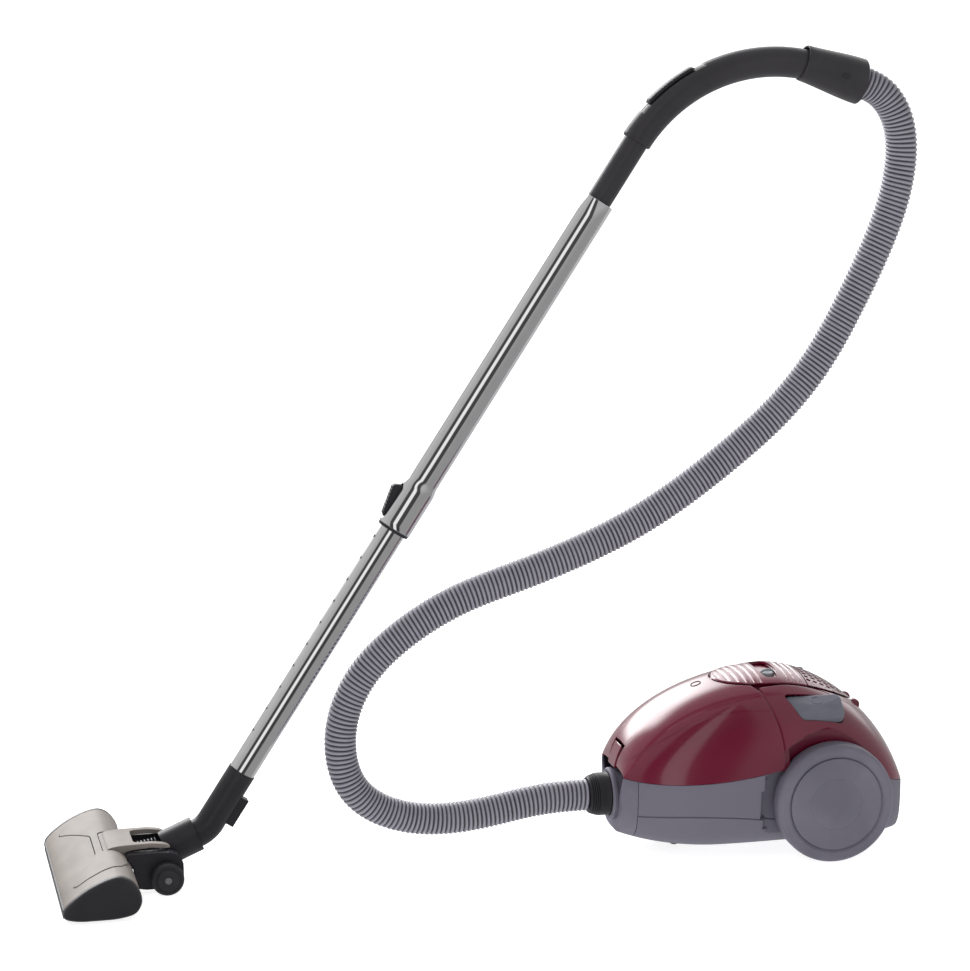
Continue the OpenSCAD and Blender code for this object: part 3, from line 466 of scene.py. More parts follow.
class Graph:
    """Builds one material's node tree."""

    def __init__(self, name: str) -> None:
        """Makes an empty material with an output node."""
        self.material = bpy.data.materials.new(name)
        self.material.use_nodes = True
        self.tree = self.material.node_tree
        self.tree.nodes.clear()
        self.output = self.tree.nodes.new("ShaderNodeOutputMaterial")

    def node(self, kind: str, settings: dict, inputs: dict) -> NodeBox:
        """Adds a node.

        Args:
            kind: the node's type.
            settings: its properties, set before its sockets.
            inputs: socket name or number to a value, a colour or another value's socket.

        Returns:
            The node, boxed.
        """
        node = self.tree.nodes.new(kind)
        for key, value in settings.items():
            setattr(node, key, value)
        for key, value in inputs.items():
            socket = node.inputs[key]
            if isinstance(value, Value):
                self.tree.links.new(value.socket, socket)
            else:
                socket.default_value = value
        return NodeBox(self, node)

    def math(self, operation: str, first: object, second: object) -> Value:
        """A Math node."""
        return self.node("ShaderNodeMath", {"operation": operation}, {0: first, 1: second}).out("Value")

    def place(self) -> tuple[Value, Value, Value]:
        """Object coordinates as three values, in metres."""
        where = self.node("ShaderNodeTexCoord", {}, {}).out("Object")
        split = self.node("ShaderNodeSeparateXYZ", {}, {0: where})
        return split.out("X"), split.out("Y"), split.out("Z")

    def noise(
        self, scale: float, detail: float = 3.0, rough: float = 0.5, stretch: Optional[Sequence] = None
    ) -> Value:
        """Noise over object coordinates."""
        where = self.node("ShaderNodeTexCoord", {}, {}).out("Object")
        if stretch is not None:
            where = self.node("ShaderNodeMapping", {}, {"Vector": where, "Scale": stretch}).out("Vector")
        inputs = {"Vector": where, "Scale": scale, "Detail": detail, "Roughness": rough}
        return self.node("ShaderNodeTexNoise", {}, inputs).out("Fac")

    def attribute(self, name: str) -> Value:
        """A number carried by the mesh's points."""
        return self.node("ShaderNodeAttribute", {"attribute_name": name}, {}).out("Fac")

    def tint(self, factor: Value, first: Sequence[float], second: Sequence[float]) -> Value:
        """Colour between two colours."""
        inputs = {"Factor": factor, "A": (*first, 1.0), "B": (*second, 1.0)}
        box = self.node("ShaderNodeMix", {"data_type": "RGBA"}, {})
        for key, socket in (("Factor", 0), ("A", 6), ("B", 7)):
            value = inputs[key]
            if isinstance(value, Value):
                self.tree.links.new(value.socket, box.node.inputs[socket])
            else:
                box.node.inputs[socket].default_value = value
        return Value(self, box.node.outputs[2])

    def bump(self, height: Value, depth: float, strength: float = 1.0) -> Value:
        """Normal from a height; depth is in metres."""
        inputs = {"Height": height, "Distance": depth, "Strength": strength}
        return self.node("ShaderNodeBump", {}, inputs).out("Normal")

    def finish(self, **inputs: object) -> bpy.types.Material:
        """Closes the tree with a Principled surface."""
        named = {key.replace("_", " "): value for key, value in inputs.items()}
        for key in ("Base Color", "Emission Color"):
            if key in named and not isinstance(named[key], Value):
                named[key] = (*named[key], 1.0)
        shader = self.node("ShaderNodeBsdfPrincipled", {}, named)
        self.tree.links.new(shader.node.outputs["BSDF"], self.output.inputs["Surface"])
        return self.material


def linear(red: int, green: int, blue: int) -> tuple[float, float, float]:
    """Screen colour numbers as linear light."""
    shares = (red / 255, green / 255, blue / 255)
    return tuple(c / 12.92 if c <= 0.0393 else ((c + 0.055) / 1.055) ** 2.4 for c in shares)


# ------------------------------------------------------------------ finishes


@dataclass(frozen=True)
class MouldedPlastic:
    """Matte or satin plastic with a moulded grain, and an optional groove line darkened with painted shade.
    """

    name: str
    colour: tuple[float, float, float]
    roughness: float = 0.5
    grain: float = 0.00004
    grain_scale: float = 900.0
    # height of a groove line whose darker colour is painted shade
    groove_z: Optional[float] = None

    def build(self) -> bpy.types.Material:
        """Makes the material."""
        graph = Graph(self.name)
        cloud = graph.noise(14.0, 4.0)
        darker = tuple(c * 0.86 for c in self.colour)
        lighter = tuple(c * 1.1 for c in self.colour)
        colour = graph.tint(cloud.ramp(0.3, 0.7), darker, lighter)
        height = graph.noise(self.grain_scale, 2.0)
        normal = graph.bump(height, self.grain)
        if self.groove_z is not None:
            x, _, z = graph.place()
            line = self.groove_z - (x - SIZE.nose_x * MM - 0.075) ** 2 * 0.9
            groove = abs(z - line).ramp(0.0004, 0.0012)
            normal = graph.bump(height * 0.05 + groove, 0.0006)
            # the groove line's darker colour is painted shade in the recess
            colour = graph.tint(groove, tuple(c * 0.45 for c in self.colour), self.colour)
        rough = self.roughness + (graph.noise(60.0, 3.0) - 0.5) * 0.12
        return graph.finish(Base_Color=colour, Roughness=rough, Normal=normal, Specular_IOR_Level=0.45)


@dataclass(frozen=True)
class GlossPlastic:
    """Glossy coloured plastic under a clear coat."""

    name: str
    colour: tuple[float, float, float]
    crease: bool = False

    def build(self) -> bpy.types.Material:
        """Makes the material."""
        graph = Graph(self.name)
        cloud = graph.noise(9.0, 3.0)
        colour = graph.tint(cloud, tuple(c * 0.9 for c in self.colour), tuple(c * 1.12 for c in self.colour))
        ripple = graph.noise(160.0, 2.0)
        normal = graph.bump(ripple, 0.000012)
        if self.crease:
            x, _, z = graph.place()
            along = x - SIZE.nose_x * MM
            line = 0.184 - (abs(0.150 - along) + (0.150 - along)) ** 2 * 0.75
            step = (z - line).ramp(-0.0015, 0.0015)
            normal = graph.bump(ripple * 0.02 + step, 0.0007)
        rough = 0.24 + (graph.noise(35.0, 4.0) - 0.5) * 0.08
        return graph.finish(
            Base_Color=colour, Roughness=rough, Normal=normal, Coat_Weight=0.8, Coat_Roughness=0.06,
            Specular_IOR_Level=0.5,
        )


@dataclass(frozen=True)
class Metal:
    """Bright or brushed metal."""

    name: str
    colour: tuple[float, float, float]
    roughness: float = 0.08
    brushed: Optional[tuple[float, float, float]] = None

    def build(self) -> bpy.types.Material:
        """Makes the material."""
        graph = Graph(self.name)
        streak = graph.noise(70.0, 4.0, 0.6, self.brushed or (1.0, 1.0, 1.0))
        colour = graph.tint(streak, tuple(c * 0.9 for c in self.colour), self.colour)
        rough = self.roughness + (streak - 0.5) * (0.25 if self.brushed else 0.05)
        normal = graph.bump(streak, 0.00003 if self.brushed else 0.000002)
        return graph.finish(Base_Color=colour, Metallic=1.0, Roughness=rough, Normal=normal)


@dataclass(frozen=True)
class HoseSkin:
    """Silver-grey hose with painted light: a painted highlight on its crests and painted shade in its folds.
    """

    name: str
    # crest is the painted highlight colour, fold the painted shade colour
    crest: tuple[float, float, float]
    fold: tuple[float, float, float]

    def build(self) -> bpy.types.Material:
        """Makes the material."""
        graph = Graph(self.name)
        ridge = graph.attribute("ridge")
        # painted highlight on the crests and painted shade in the folds, with random mottling
        crest_light_and_mottle = ridge * 0.9 + (graph.noise(45.0, 3.0) - 0.5) * 0.2
        colour = graph.tint(crest_light_and_mottle.ramp(0.05, 0.85), self.fold, self.crest)
        normal = graph.bump(graph.noise(1400.0, 2.0), 0.00003)
        rough = 0.42 - ridge * 0.1
        return graph.finish(Base_Color=colour, Roughness=rough, Normal=normal, Specular_IOR_Level=0.55)


@dataclass(frozen=True)
class Cloth:
    """Paper, fleece or bristle: a rough, fibrous finish."""

    name: str
    colour: tuple[float, float, float]
    scale: float = 260.0
    depth: float = 0.0004

    def build(self) -> bpy.types.Material:
        """Makes the material."""
        graph = Graph(self.name)
        fibre = graph.noise(self.scale, 6.0, 0.7, (1.0, 1.0, 0.25))
        darker = tuple(c * 0.7 for c in self.colour)
        lighter = tuple(min(1, c * 1.2) for c in self.colour)
        colour = graph.tint(fibre, darker, lighter)
        return graph.finish(Base_Color=colour, Roughness=0.9, Normal=graph.bump(fibre, self.depth))


@dataclass(frozen=True)
class ClearWindow:
    """Clear indicator window."""

    name: str

    def build(self) -> bpy.types.Material:
        """Makes the material."""
        graph = Graph(self.name)
        rough = 0.08 + graph.noise(90.0) * 0.06
        return graph.finish(
            Base_Color=(0.82, 0.84, 0.86), Roughness=rough, Transmission_Weight=0.55, IOR=1.45
        )


@dataclass(frozen=True)
class CircuitBoard:
    """Green laminate with paler copper tracks under the lacquer."""

    name: str

    def build(self) -> bpy.types.Material:
        """Makes the material."""
        graph = Graph(self.name)
        tracks = graph.noise(120.0, 1.0, 0.2, (1.0, 3.0, 1.0)).above(0.52)
        colour = graph.tint(tracks, (0.006, 0.03, 0.012), (0.012, 0.06, 0.02))
        return graph.finish(Base_Color=colour, Roughness=0.35, Normal=graph.bump(tracks, 0.0001))


@dataclass(frozen=True)
class Floor:
    """Pale studio floor and backdrop."""

    name: str

    def build(self) -> bpy.types.Material:
        """Makes the material."""
        graph = Graph(self.name)
        shade = graph.tint(graph.noise(1.5, 2.0), (0.58, 0.58, 0.585), (0.6, 0.6, 0.605))
        return graph.finish(
            Base_Color=shade, Roughness=0.7, Emission_Color=(1.0, 1.0, 1.0), Emission_Strength=0.85
        )


class Finish(Enum):
    """Every finish on the machine."""

    BURGUNDY = GlossPlastic("burgundy_gloss", linear(98, 10, 40))
    BURGUNDY_LID = GlossPlastic("burgundy_lid", linear(98, 10, 40), crease=True)
    GREY = MouldedPlastic("purple_grey", linear(104, 101, 114), 0.5, 0.00003)
    # lower shell: its groove line is darkened with painted shade
    GREY_SHELL = MouldedPlastic("purple_grey_shell", linear(104, 101, 114), 0.5, 0.00003, groove_z=0.061)
    PEDAL = MouldedPlastic("pedal_grey", linear(104, 106, 116), 0.42, 0.00002)
    DARK = MouldedPlastic("dark_plastic", linear(34, 32, 37), 0.42)
    HANDLE = MouldedPlastic("handle_plastic", linear(46, 44, 48), 0.4, 0.00004)
    SILVER = MouldedPlastic("silver_plastic", linear(128, 130, 136), 0.28, 0.00001)
    STONE = MouldedPlastic("stone_plastic", linear(128, 121, 116), 0.5, 0.00002)
    TREAD = MouldedPlastic("tread_rubber", linear(38, 38, 42), 0.62, 0.00008)
    CHROME = Metal("chrome_tube", (0.86, 0.85, 0.86), 0.05)
    STEEL = Metal("steel", (0.6, 0.6, 0.62), 0.22)
    ZINC = Metal("zinc_can", (0.52, 0.52, 0.55), 0.38, (1.0, 6.0, 1.0))
    SOLE = Metal("sole_metal", (0.6, 0.6, 0.62), 0.34, (8.0, 1.0, 1.0))
    COPPER = Metal("copper_winding", (0.62, 0.26, 0.11), 0.4, (1.0, 20.0, 1.0))
    # hose colours: painted highlight on the crests, painted shade in the folds
    HOSE = HoseSkin("hose_plastic", linear(142, 140, 151), linear(46, 44, 50))
    PAPER = Cloth("bag_paper", linear(206, 190, 158))
    FLEECE = Cloth("filter_foam", linear(214, 218, 222), 500.0)
    BRISTLE = Cloth("bristle", (0.015, 0.015, 0.018), 900.0, 0.001)
    CLEAR = ClearWindow("clear_window")
    BOARD = CircuitBoard("board_green")
    FLOOR = Floor("studio_floor")


_made: dict[Finish, bpy.types.Material] = {}


def dress(piece: bpy.types.Object, finish: Finish) -> bpy.types.Object:
    """Puts a finish on a piece as its only material."""
    if finish not in _made:
        _made[finish] = finish.value.build()
    piece.data.materials.clear()
    piece.data.materials.append(_made[finish])
    return piece


def carry(node: str, finish: Finish, sharp: float = 30.0) -> bpy.types.Object:
    """Keeps a CAD node as it is, with a finish on it."""
    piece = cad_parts[node]
    piece.data.shade_smooth()
    piece.data.set_sharp_from_angle(angle=math.radians(sharp))
    log.info("carried over %s", node)
    return dress(piece, finish)


def add(piece: bpy.types.Object, finish: Finish, body: str, *nodes: str) -> bpy.types.Object:
    """Finishes a new piece, puts it on its body and hides the CAD nodes it stands for."""
    dress(piece, finish)
    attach(piece, body)
    if nodes:
        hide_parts(*nodes)
    log.info("made %s on %s", piece.name, body)
    return piece


# ------------------------------------------------------------------ canister


SECTION_POWER = 2.3
SEAT_RISE = 1.5


def arch(r: Grid, power: float) -> Grid:
    """Falls from 1 to 0 as r goes from 0 to 1, round like a superellipse."""
    return np.maximum(0, 1 - np.minimum(1, np.abs(r)) ** power) ** (1 / power)


@dataclass(frozen=True)
class BodyForm:
    """The canister's outer form; x is the distance from the nose."""

    size: Sizes = SIZE

    def belt(self, x: Grid) -> Grid:
        """Height of the widest line."""
        s = self.size
        nose, rear, crest = s.nose_belt, s.rear_belt, s.crest_x
        front = nose - 3 + 18 * np.abs(x / crest - 0.22) ** 2 / 0.61
        back = nose + 15 - (nose + 15 - rear) * np.clip((x - crest) / (s.can_l - crest), 0, 1) ** 1.5
        return np.where(x < crest, front, back)

    def top(self, x: Grid) -> Grid:
        """Height of the crest line."""
        s = self.size
        nose, rear, crest = s.nose_belt, s.rear_belt, s.crest_x
        front = nose + (s.can_h - nose) * arch((crest - x) / crest, 1.85)
        back = rear + (s.can_h - rear) * arch((x - crest) / (s.can_l - crest), 1.75)
        return np.where(x < crest, front, back)

    def bottom(self, x: Grid) -> Grid:
        """Height of the underside."""
        s = self.size
        return s.floor_gap + s.nose_lift * np.maximum(0, 1 - x / (0.34 * s.can_l)) ** 2

    def half(self, x: Grid) -> Grid:
        """Half width at the belt."""
        s = self.size
        widest = 0.571 * s.can_l
        front = arch((widest - x) / (widest + 12), 2.6)
        back = arch((x - widest) / (s.can_l + 12 - widest), 2.8)
        return s.can_w / 2 * np.where(x < widest, front, back)

    def roof(self, x: Grid, y: Grid) -> Grid:
        """Height of the outside over a place."""
        return mix(self.belt(x), self.top(x), arch(y / self.half(x), SECTION_POWER))

    def point(self, x: Grid, angle: Grid, lift: float = 0.0, clear_wheels: bool = True) -> Grid:
        """Points of the outside.

        Args:
            x: distances from the nose.
            angle: place round the section in degrees, 0 on the near side and 90 on top.
            lift: moves the belt line up or down.
            clear_wheels: steps the side in beside the rear wheels.

        Returns:
            The points in the row frame.
        """
        a = np.radians(angle)
        up = angle <= 180
        power = np.where(up, 2 / SECTION_POWER, 2 / 3.6)
        belt = self.belt(x) + lift
        top = np.maximum(self.top(x), belt + 0.3)
        rise = np.abs(np.sin(a)) ** power
        z = mix(belt, np.where(up, top, self.bottom(x)), rise)
        y = -self.half(x) * np.sign(np.cos(a)) * np.abs(np.cos(a)) ** power
        if clear_wheels:
            s = self.size
            reach = np.hypot(x - s.wheel_x, z - s.wheel_d / 2)
            edge = s.wheel_d / 2 + 4 + 11
            inside = np.sign(y) * np.minimum(np.abs(y), s.well_y)
            y = np.where(reach < edge, inside, y)
        return np.stack([self.size.nose_x + x, y, z], -1)


FORM = BodyForm()


@dataclass(frozen=True)
class CanisterShells:
    """The canister's skin: lower shell, nose, lid, rear cover, oval panel and grille."""

    size: Sizes = SIZE
    panel_half_l: float = 88.0
    panel_half_w: float = 50.0
    slot_l: float = 74.0
    slot_w: float = 22.0
    wall: float = 2.4

    @property
    def panel_mid(self) -> float:
        """Middle of the oval panel, from the nose."""
        return 0.606 * self.size.can_l

    @property
    def split(self) -> float:
        """Line between the ribbed panel and the grille, from the nose."""
        return 0.66 * self.size.can_l

    def seam(self, z: Grid) -> Grid:
        """Place of the seam between lid and rear cover at a height."""
        return self.size.seam_x - 0.0026 * np.maximum(0, z - 120) ** 2

    def oval_reach(self, y: Grid, grow: float) -> Grid:
        """Half length of the oval at a distance from the middle plane."""
        return (self.panel_half_l + grow) * arch(y / (self.panel_half_w + grow), SECTION_POWER)

    def lid_end(self, angle: Grid) -> Grid:
        """Where the lid ends on each section line."""
        x = np.full_like(angle, self.size.seam_x)
        for _ in range(24):
            p = FORM.point(x, angle, clear_wheels=False)
            clear = 1.25 * np.maximum(0, p[:, 2] - self.size.hinge_z + 1)
            target = np.minimum(self.seam(p[:, 2]) - clear, self.panel_mid - self.oval_reach(p[:, 1], 2))
            x = mix(x, target, 0.7)
        return x

    def cover_start(self, angle: Grid) -> Grid:
        """Where the rear cover starts on each section line."""
        x = np.full_like(angle, self.size.seam_x)
        for _ in range(24):
            p = FORM.point(x, angle, clear_wheels=False)
            reach = self.oval_reach(p[:, 1], 2)
            oval = np.where(reach > 0, self.panel_mid + reach, 0)
            x = mix(x, np.maximum(self.seam(p[:, 2]) + self.size.seam, oval), 0.7)
        return x

    def lid(self) -> bpy.types.Object:
        """The hinged front lid."""
        cols, rows = 221, 90
        angle = np.linspace(0, 180, cols)
        y = FORM.point(np.full(cols, 3.0), angle, clear_wheels=False)[:, 1]
        start = np.where(np.abs(y) < 17, 10.0, 0.3)
        end = self.lid_end(angle)
        f = 1 - np.cos(np.linspace(0, np.pi / 2, rows))
        x = mix(start[None], end[None], f[:, None])
        grid = FORM.point(x, np.broadcast_to(angle, x.shape), self.size.seam / 2, clear_wheels=False)
        return thicken(surface("lid_shell", grid, flip=True), self.wall)

    def rear_cover(self) -> bpy.types.Object:
        """The rear cover round the panel, open where the pedals are."""
        cols, rows = 241, 110
        angle = np.linspace(0, 180, cols)
        start = self.cover_start(angle)
        f = np.sin(np.linspace(0, np.pi / 2, rows))
        x = mix(start[None], self.size.can_l - 0.3, f[:, None])
        grid = FORM.point(x, np.broadcast_to(angle, x.shape), self.size.seam / 2)
        piece = thicken(surface("rear_cover_shell", grid, flip=True), self.wall)
        for side in (-1, 1):
            cut_away(piece, PEDALS.block(side, 0.8, 40, 40, "pedal_opening"))
        return piece

    def rim(self) -> bpy.types.Object:
        """The rear body's rim under the seams, on which the lid's edge closes."""
        cols, rows = 181, 14
        angle = np.linspace(0, 180, cols)
        start, end = self.lid_end(angle) - 9, self.cover_start(angle) + 6
        x = mix(start[None], end[None], np.linspace(0, 1, rows)[:, None])
        outside = FORM.point(x, np.broadcast_to(angle, x.shape), clear_wheels=False)
        belt = self.size.nose_belt
        middle = np.stack([outside[..., 0], 0 * x, np.full(x.shape, belt)], -1)
        away = outside - middle
        sunk = outside - away / np.linalg.norm(away, axis=-1, keepdims=True) * 3.4
        return thicken(surface("seam_rim", sunk, flip=True), 1.2)

    def lower_shell(self) -> bpy.types.Object:
        """The lower shell, from behind the nose piece to the closed back."""
        cols, rows = 181, 120
        angle = np.linspace(180, 360, cols)
        f = np.linspace(0, 1, rows)
        x = mix(15.0, self.size.can_l, np.sin(f * np.pi / 2))[:, None] * np.ones(cols)
        grid = FORM.point(x, np.broadcast_to(angle, x.shape), -self.size.seam / 2)
        hub = np.stack([
            grid[-1, :, 0], -3 * np.cos(np.radians(angle)),
            self.size.rear_belt - self.size.seam / 2 + 3 * np.sin(np.radians(angle)),
        ], -1)
        closing = [mix(grid[-1], hub, step) for step in np.linspace(0, 1, 10)[1:]]
        piece = surface("lower_shell_skin", np.concatenate([grid, np.array(closing)]), flip=True)
        thicken(piece, self.wall)
        caster = np.array([self.size.nose_x + 0.2 * self.size.can_l, 0, 0])
        bore = [(0, 0), (21, 0), (21, 60), (0, 60)]
        cut_away(piece, revolve("caster_opening", bore, caster, (0, 0, 1), 64))
        outlet = np.array([self.size.nose_x + self.size.can_l - 12, 0, self.size.rear_belt - 22])
        cut_away(piece, revolve("cord_opening", [(0, 0), (13, 0), (13, 30), (0, 30)], outlet, (1, 0, 0), 48))
        return piece

    def nose(self) -> bpy.types.Object:
        """The nose piece round the hose inlet."""
        cols, rows = 121, 40
        angle = np.linspace(180, 360, cols)
        radius = 63 / 2 - 2 + self.size.gap
        a = np.radians(angle)
        rings = []
        for f in np.linspace(0, 1, rows):
            x = np.full(cols, 0.0 if f < 0.5 else mix(0.0, 14.4, (f - 0.5) * 2))
            body = FORM.point(x, angle, -self.size.seam / 2)
            rim = np.stack([body[:, 0], -radius * np.cos(a), self.size.inlet_z + radius * np.sin(a)], -1)
            rings.append(mix(body, rim, max(0.0, 1 - 2 * f)))
        return thicken(surface("nose_skin", np.array(rings), flip=True), self.wall)

    def panel_edge(self, angle: Grid) -> Grid:
        """Outline of the ribbed part of the oval, seen from the slot's middle."""
        knob = self.size.knob_x
        r = np.full_like(angle, 40.0)
        for _ in range(20):
            x = knob + r * np.cos(angle)
            y = r * np.sin(angle)
            lengthwise = np.abs((x - self.panel_mid) / self.panel_half_l) ** SECTION_POWER
            oval = lengthwise + np.abs(y / self.panel_half_w) ** SECTION_POWER
            q = np.maximum(oval ** (1 / SECTION_POWER), (x - knob) / (self.split - 0.3 - knob))
            r = r / mix(1, q, 0.7)
        return np.stack([knob + r * np.cos(angle), r * np.sin(angle)], -1)

    def panel(self) -> bpy.types.Object:
        """The ribbed panel round the knob's slot: ribs run across it, a plain band follows its edge."""
        cols, rows = 360, 74
        angle = 2 * np.pi * np.arange(cols) / cols
        knob = self.size.knob_x
        slot = np.stack([
            knob + self.slot_w / 2 * np.sign(np.cos(angle)) * np.abs(np.cos(angle)) ** 0.5,
            self.slot_l / 2 * np.sign(np.sin(angle)) * np.abs(np.sin(angle)) ** 0.8,
        ], -1)
        edge = self.panel_edge(angle)
        f = np.linspace(0, 1, rows)[:, None, None]
        plan = mix(slot[None], edge[None], f)
        x, y = plan[..., 0], plan[..., 1]
        band = smooth_step(f[..., 0], 0.0, 0.12) * (1 - smooth_step(f[..., 0], 0.86, 0.94))
        rib = 0.5 + 0.5 * np.cos(2 * np.pi * (x - knob) / 8.6)
        away = smooth_step(np.abs(x - knob), self.slot_w / 2 + 1, self.slot_w / 2 + 4)
        z = FORM.roof(x, y) + SEAT_RISE - 1.3 * band * away * smooth_step(rib, 0.55, 0.95)
        z = z - 1.2 * smooth_step(f[..., 0], 0.97, 1.0)
        grid = np.stack([self.size.nose_x + x, y, z], -1)
        piece = surface("ribbed_panel", grid, wrap=True)
        tidy_mesh(piece)
        return thicken(piece, 3.6)

    def grille(self) -> bpy.types.Object:
        """The exhaust grille: a field of square cells, most with a round hole."""
        pitch_x, pitch_y, radius, depth, arc = 8.0, 9.0, 2.9, 3.0, 24
        first, last = self.split + 0.3, self.panel_mid + self.panel_half_l - 1
        n_x = int(round((last - first) / pitch_x))
        step = (last - first) / n_x
        around = 2 * np.pi * (np.arange(arc) + 0.5) / arc
        square = np.stack([np.cos(around), np.sin(around)], -1)
        square = square / np.abs(square).max(1, keepdims=True)
        points, faces = [], []

        def lay(x: Grid, y: Grid, sink: float) -> Grid:
            """Points on the grille's face, sunk by some depth."""
            edge = self.panel_half_w * arch((x - self.panel_mid) / self.panel_half_l, SECTION_POWER)
            y = np.clip(y, -edge, edge)
            return np.stack([self.size.nose_x + x, y, FORM.roof(x, y) + SEAT_RISE - sink], -1)

        for i in range(n_x):
            for j in range(-6, 7):
                middle = np.array([first + step * (i + 0.5), pitch_y * j])
                half = np.array([step / 2, pitch_y / 2])
                reach = (middle[0] - self.panel_mid) / self.panel_half_l
                far = self.panel_half_w * float(arch(reach, SECTION_POWER))
                if abs(middle[1]) - half[1] > far - 0.5:
                    continue
                base = sum(len(p) for p in points)
                rim = middle + half * square
                open_cell = abs(middle[1]) + half[1] < far - 3
                ring = middle + radius * np.stack([np.cos(around), np.sin(around)], -1)
                layers = [lay(rim[:, 0], rim[:, 1], 0.0), lay(ring[:, 0], ring[:, 1], 0.0)]
                if open_cell:
                    layers.append(lay(ring[:, 0], ring[:, 1], depth))
                points += layers
                faces += grid_faces(len(layers), arc, True, base).tolist()
                if not open_cell:
                    faces.append([base + arc + k for k in range(arc)])
        piece = make_mesh("grille_field", np.vstack(points), faces)
        tidy_mesh(piece)
        return piece

    def make(self) -> None:
        """Builds every shell."""
        add(self.lid(), Finish.BURGUNDY_LID, "lid", "lid")
        add(self.rear_cover(), Finish.BURGUNDY, "canister", "rear_cover")
        add(self.rim(), Finish.BURGUNDY, "canister")
        add(self.lower_shell(), Finish.GREY_SHELL, "canister", "lower_shell")
        add(self.nose(), Finish.GREY, "canister", "nose_piece")
        add(self.panel(), Finish.BURGUNDY, "canister", "top_panel")
        add(self.grille(), Finish.BURGUNDY, "canister", "exhaust_grille")


def cut_away(piece: bpy.types.Object, tool: bpy.types.Object, keep_inside: bool = False) -> None:
    """Cuts a tool's volume out of a piece, or keeps only what is inside it, and drops the tool."""
    cut = piece.modifiers.new("opening", "BOOLEAN")
    cut.operation = "INTERSECT" if keep_inside else "DIFFERENCE"
    cut.solver = "EXACT"
    cut.object = tool
    bpy.context.view_layer.update()
    graph = bpy.context.evaluated_depsgraph_get()
    mesh = bpy.data.meshes.new_from_object(piece.evaluated_get(graph))
    piece.modifiers.clear()
    piece.data = mesh
    bpy.data.objects.remove(tool)
    mesh.shade_smooth()
    mesh.set_sharp_from_angle(angle=math.radians(40))


@dataclass(frozen=True)
class Pedals:
    """The two foot pedals on the rear shoulders."""

    size: Sizes = SIZE
    length: float = 72.0
    width: float = 34.0
    y: float = 76.0
    lean: float = 34.0
    slant: float = 17.0
    ridge: float = -3.0
    ridge_h: float = 8.0

    def frame(self, side: int) -> tuple[np.ndarray, np.ndarray, np.ndarray, np.ndarray]:
        """Origin and the three directions of a pedal: along, across and outward."""
        lean = math.radians(self.lean)
        origin = np.array([self.size.nose_x + 0.655 * self.size.can_l, side * self.y, self.size.can_h - 34])
        along = np.array([1.0, 0, 0])
        across = np.array([0, math.cos(lean), -side * math.sin(lean)])
        out = np.array([0, side * math.sin(lean), math.cos(lean)])
        return origin, along, across, out

    def plan(self, grow: float) -> Grid:
        """Outline of a pedal seen square on: its front end slants back towards the outside."""
        flat = rounded_rect(self.length + 2 * grow, self.width + 2 * grow, 7 + grow, 12)
        toward_front = np.maximum(0, -flat[:, 0] / (self.length / 2))
        toward_side = (self.width / 2 - flat[:, 1]) / self.width
        flat[:, 0] += self.slant * toward_front * toward_side
        return flat

    def block(self, side: int, grow: float, down: float, up: float, name: str) -> bpy.types.Object:
        """The pedal's plan as a plain block, for cutting its opening."""
        origin, along, across, out = self.frame(side)
        flat = self.plan(grow) * np.array([1.0, -side])
        return prism(name, flat, origin, along, across, out, -down, up)

    def crown(self, across: Grid) -> Grid:
        """Height of the pedal's face: a tread that leans in, and a steeper face towards the outside."""
        tread = self.ridge_h - 0.16 * (across - self.ridge)
        face = self.ridge_h - 0.66 * (self.ridge - across)
        return np.minimum(tread, face)

    def pedal(self, side: int, name: str) -> bpy.types.Object:
        """A chunky pedal with a tread, a steeper outer face and rolled edges."""
        origin, along, across, out = self.frame(side)
        plan = self.plan(0.0)
        middle = np.array([4.0, self.ridge])
        rings = []
        for shrink, sink in ((1.0, 15.0), (1.0, 3.0), (0.995, 1.8), (0.98, 0.8), (0.955, 0.2), (0.92, 0.0)):
            flat = middle + (plan - middle) * shrink
            height = self.crown(flat[:, 1:2]) - sink if sink < 10 else np.full((len(flat), 1), -8.0)
            rings.append((flat, height))
        for shrink in np.linspace(0.85, 0.01, 16):
            flat = middle + (plan - middle) * shrink
            rings.append((flat, self.crown(flat[:, 1:2])))
        grid = [
            origin + flat[:, :1] * along - side * flat[:, 1:] * across + height * out
            for flat, height in rings
        ]
        body = surface(name, np.array(grid), wrap=True, caps=True)
        tidy_mesh(body, 50.0)
        return body

    def mark(self, side: int, name: str) -> bpy.types.Object:
        """A raised open ring, the plain mark on a pedal."""
        origin, along, across, out = self.frame(side)
        turn = np.linspace(math.radians(60), math.radians(380), 60)
        tube = 2 * np.pi * np.arange(10) / 10
        tilt = -side * across * math.cos(math.atan(0.16)) - out * math.sin(math.atan(0.16))
        middle = origin + 4 * along - side * 7 * across + float(self.crown(np.array(7.0))) * out
        radius, thick = 6.5, 0.7
        ring = np.cos(turn)[:, None] * along + np.sin(turn)[:, None] * tilt
        grid = (middle + radius * ring)[:, None] + thick * (
            np.cos(tube)[None, :, None] * ring[:, None] + np.sin(tube)[None, :, None] * out
        )
        return surface(name, grid, wrap=True, caps=True)

    def make(self) -> None:
        """Builds both pedals and their marks."""
        for side, name in ((-1, "power_pedal"), (1, "rewind_pedal")):
            add(self.pedal(side, name + "_cap"), Finish.PEDAL, name, name)
            mark = self.mark(side, name + "_mark")
            tidy_mesh(mark)
            add(mark, Finish.PEDAL, name)
        carry("pedal_springs", Finish.STEEL)


PEDALS = Pedals()


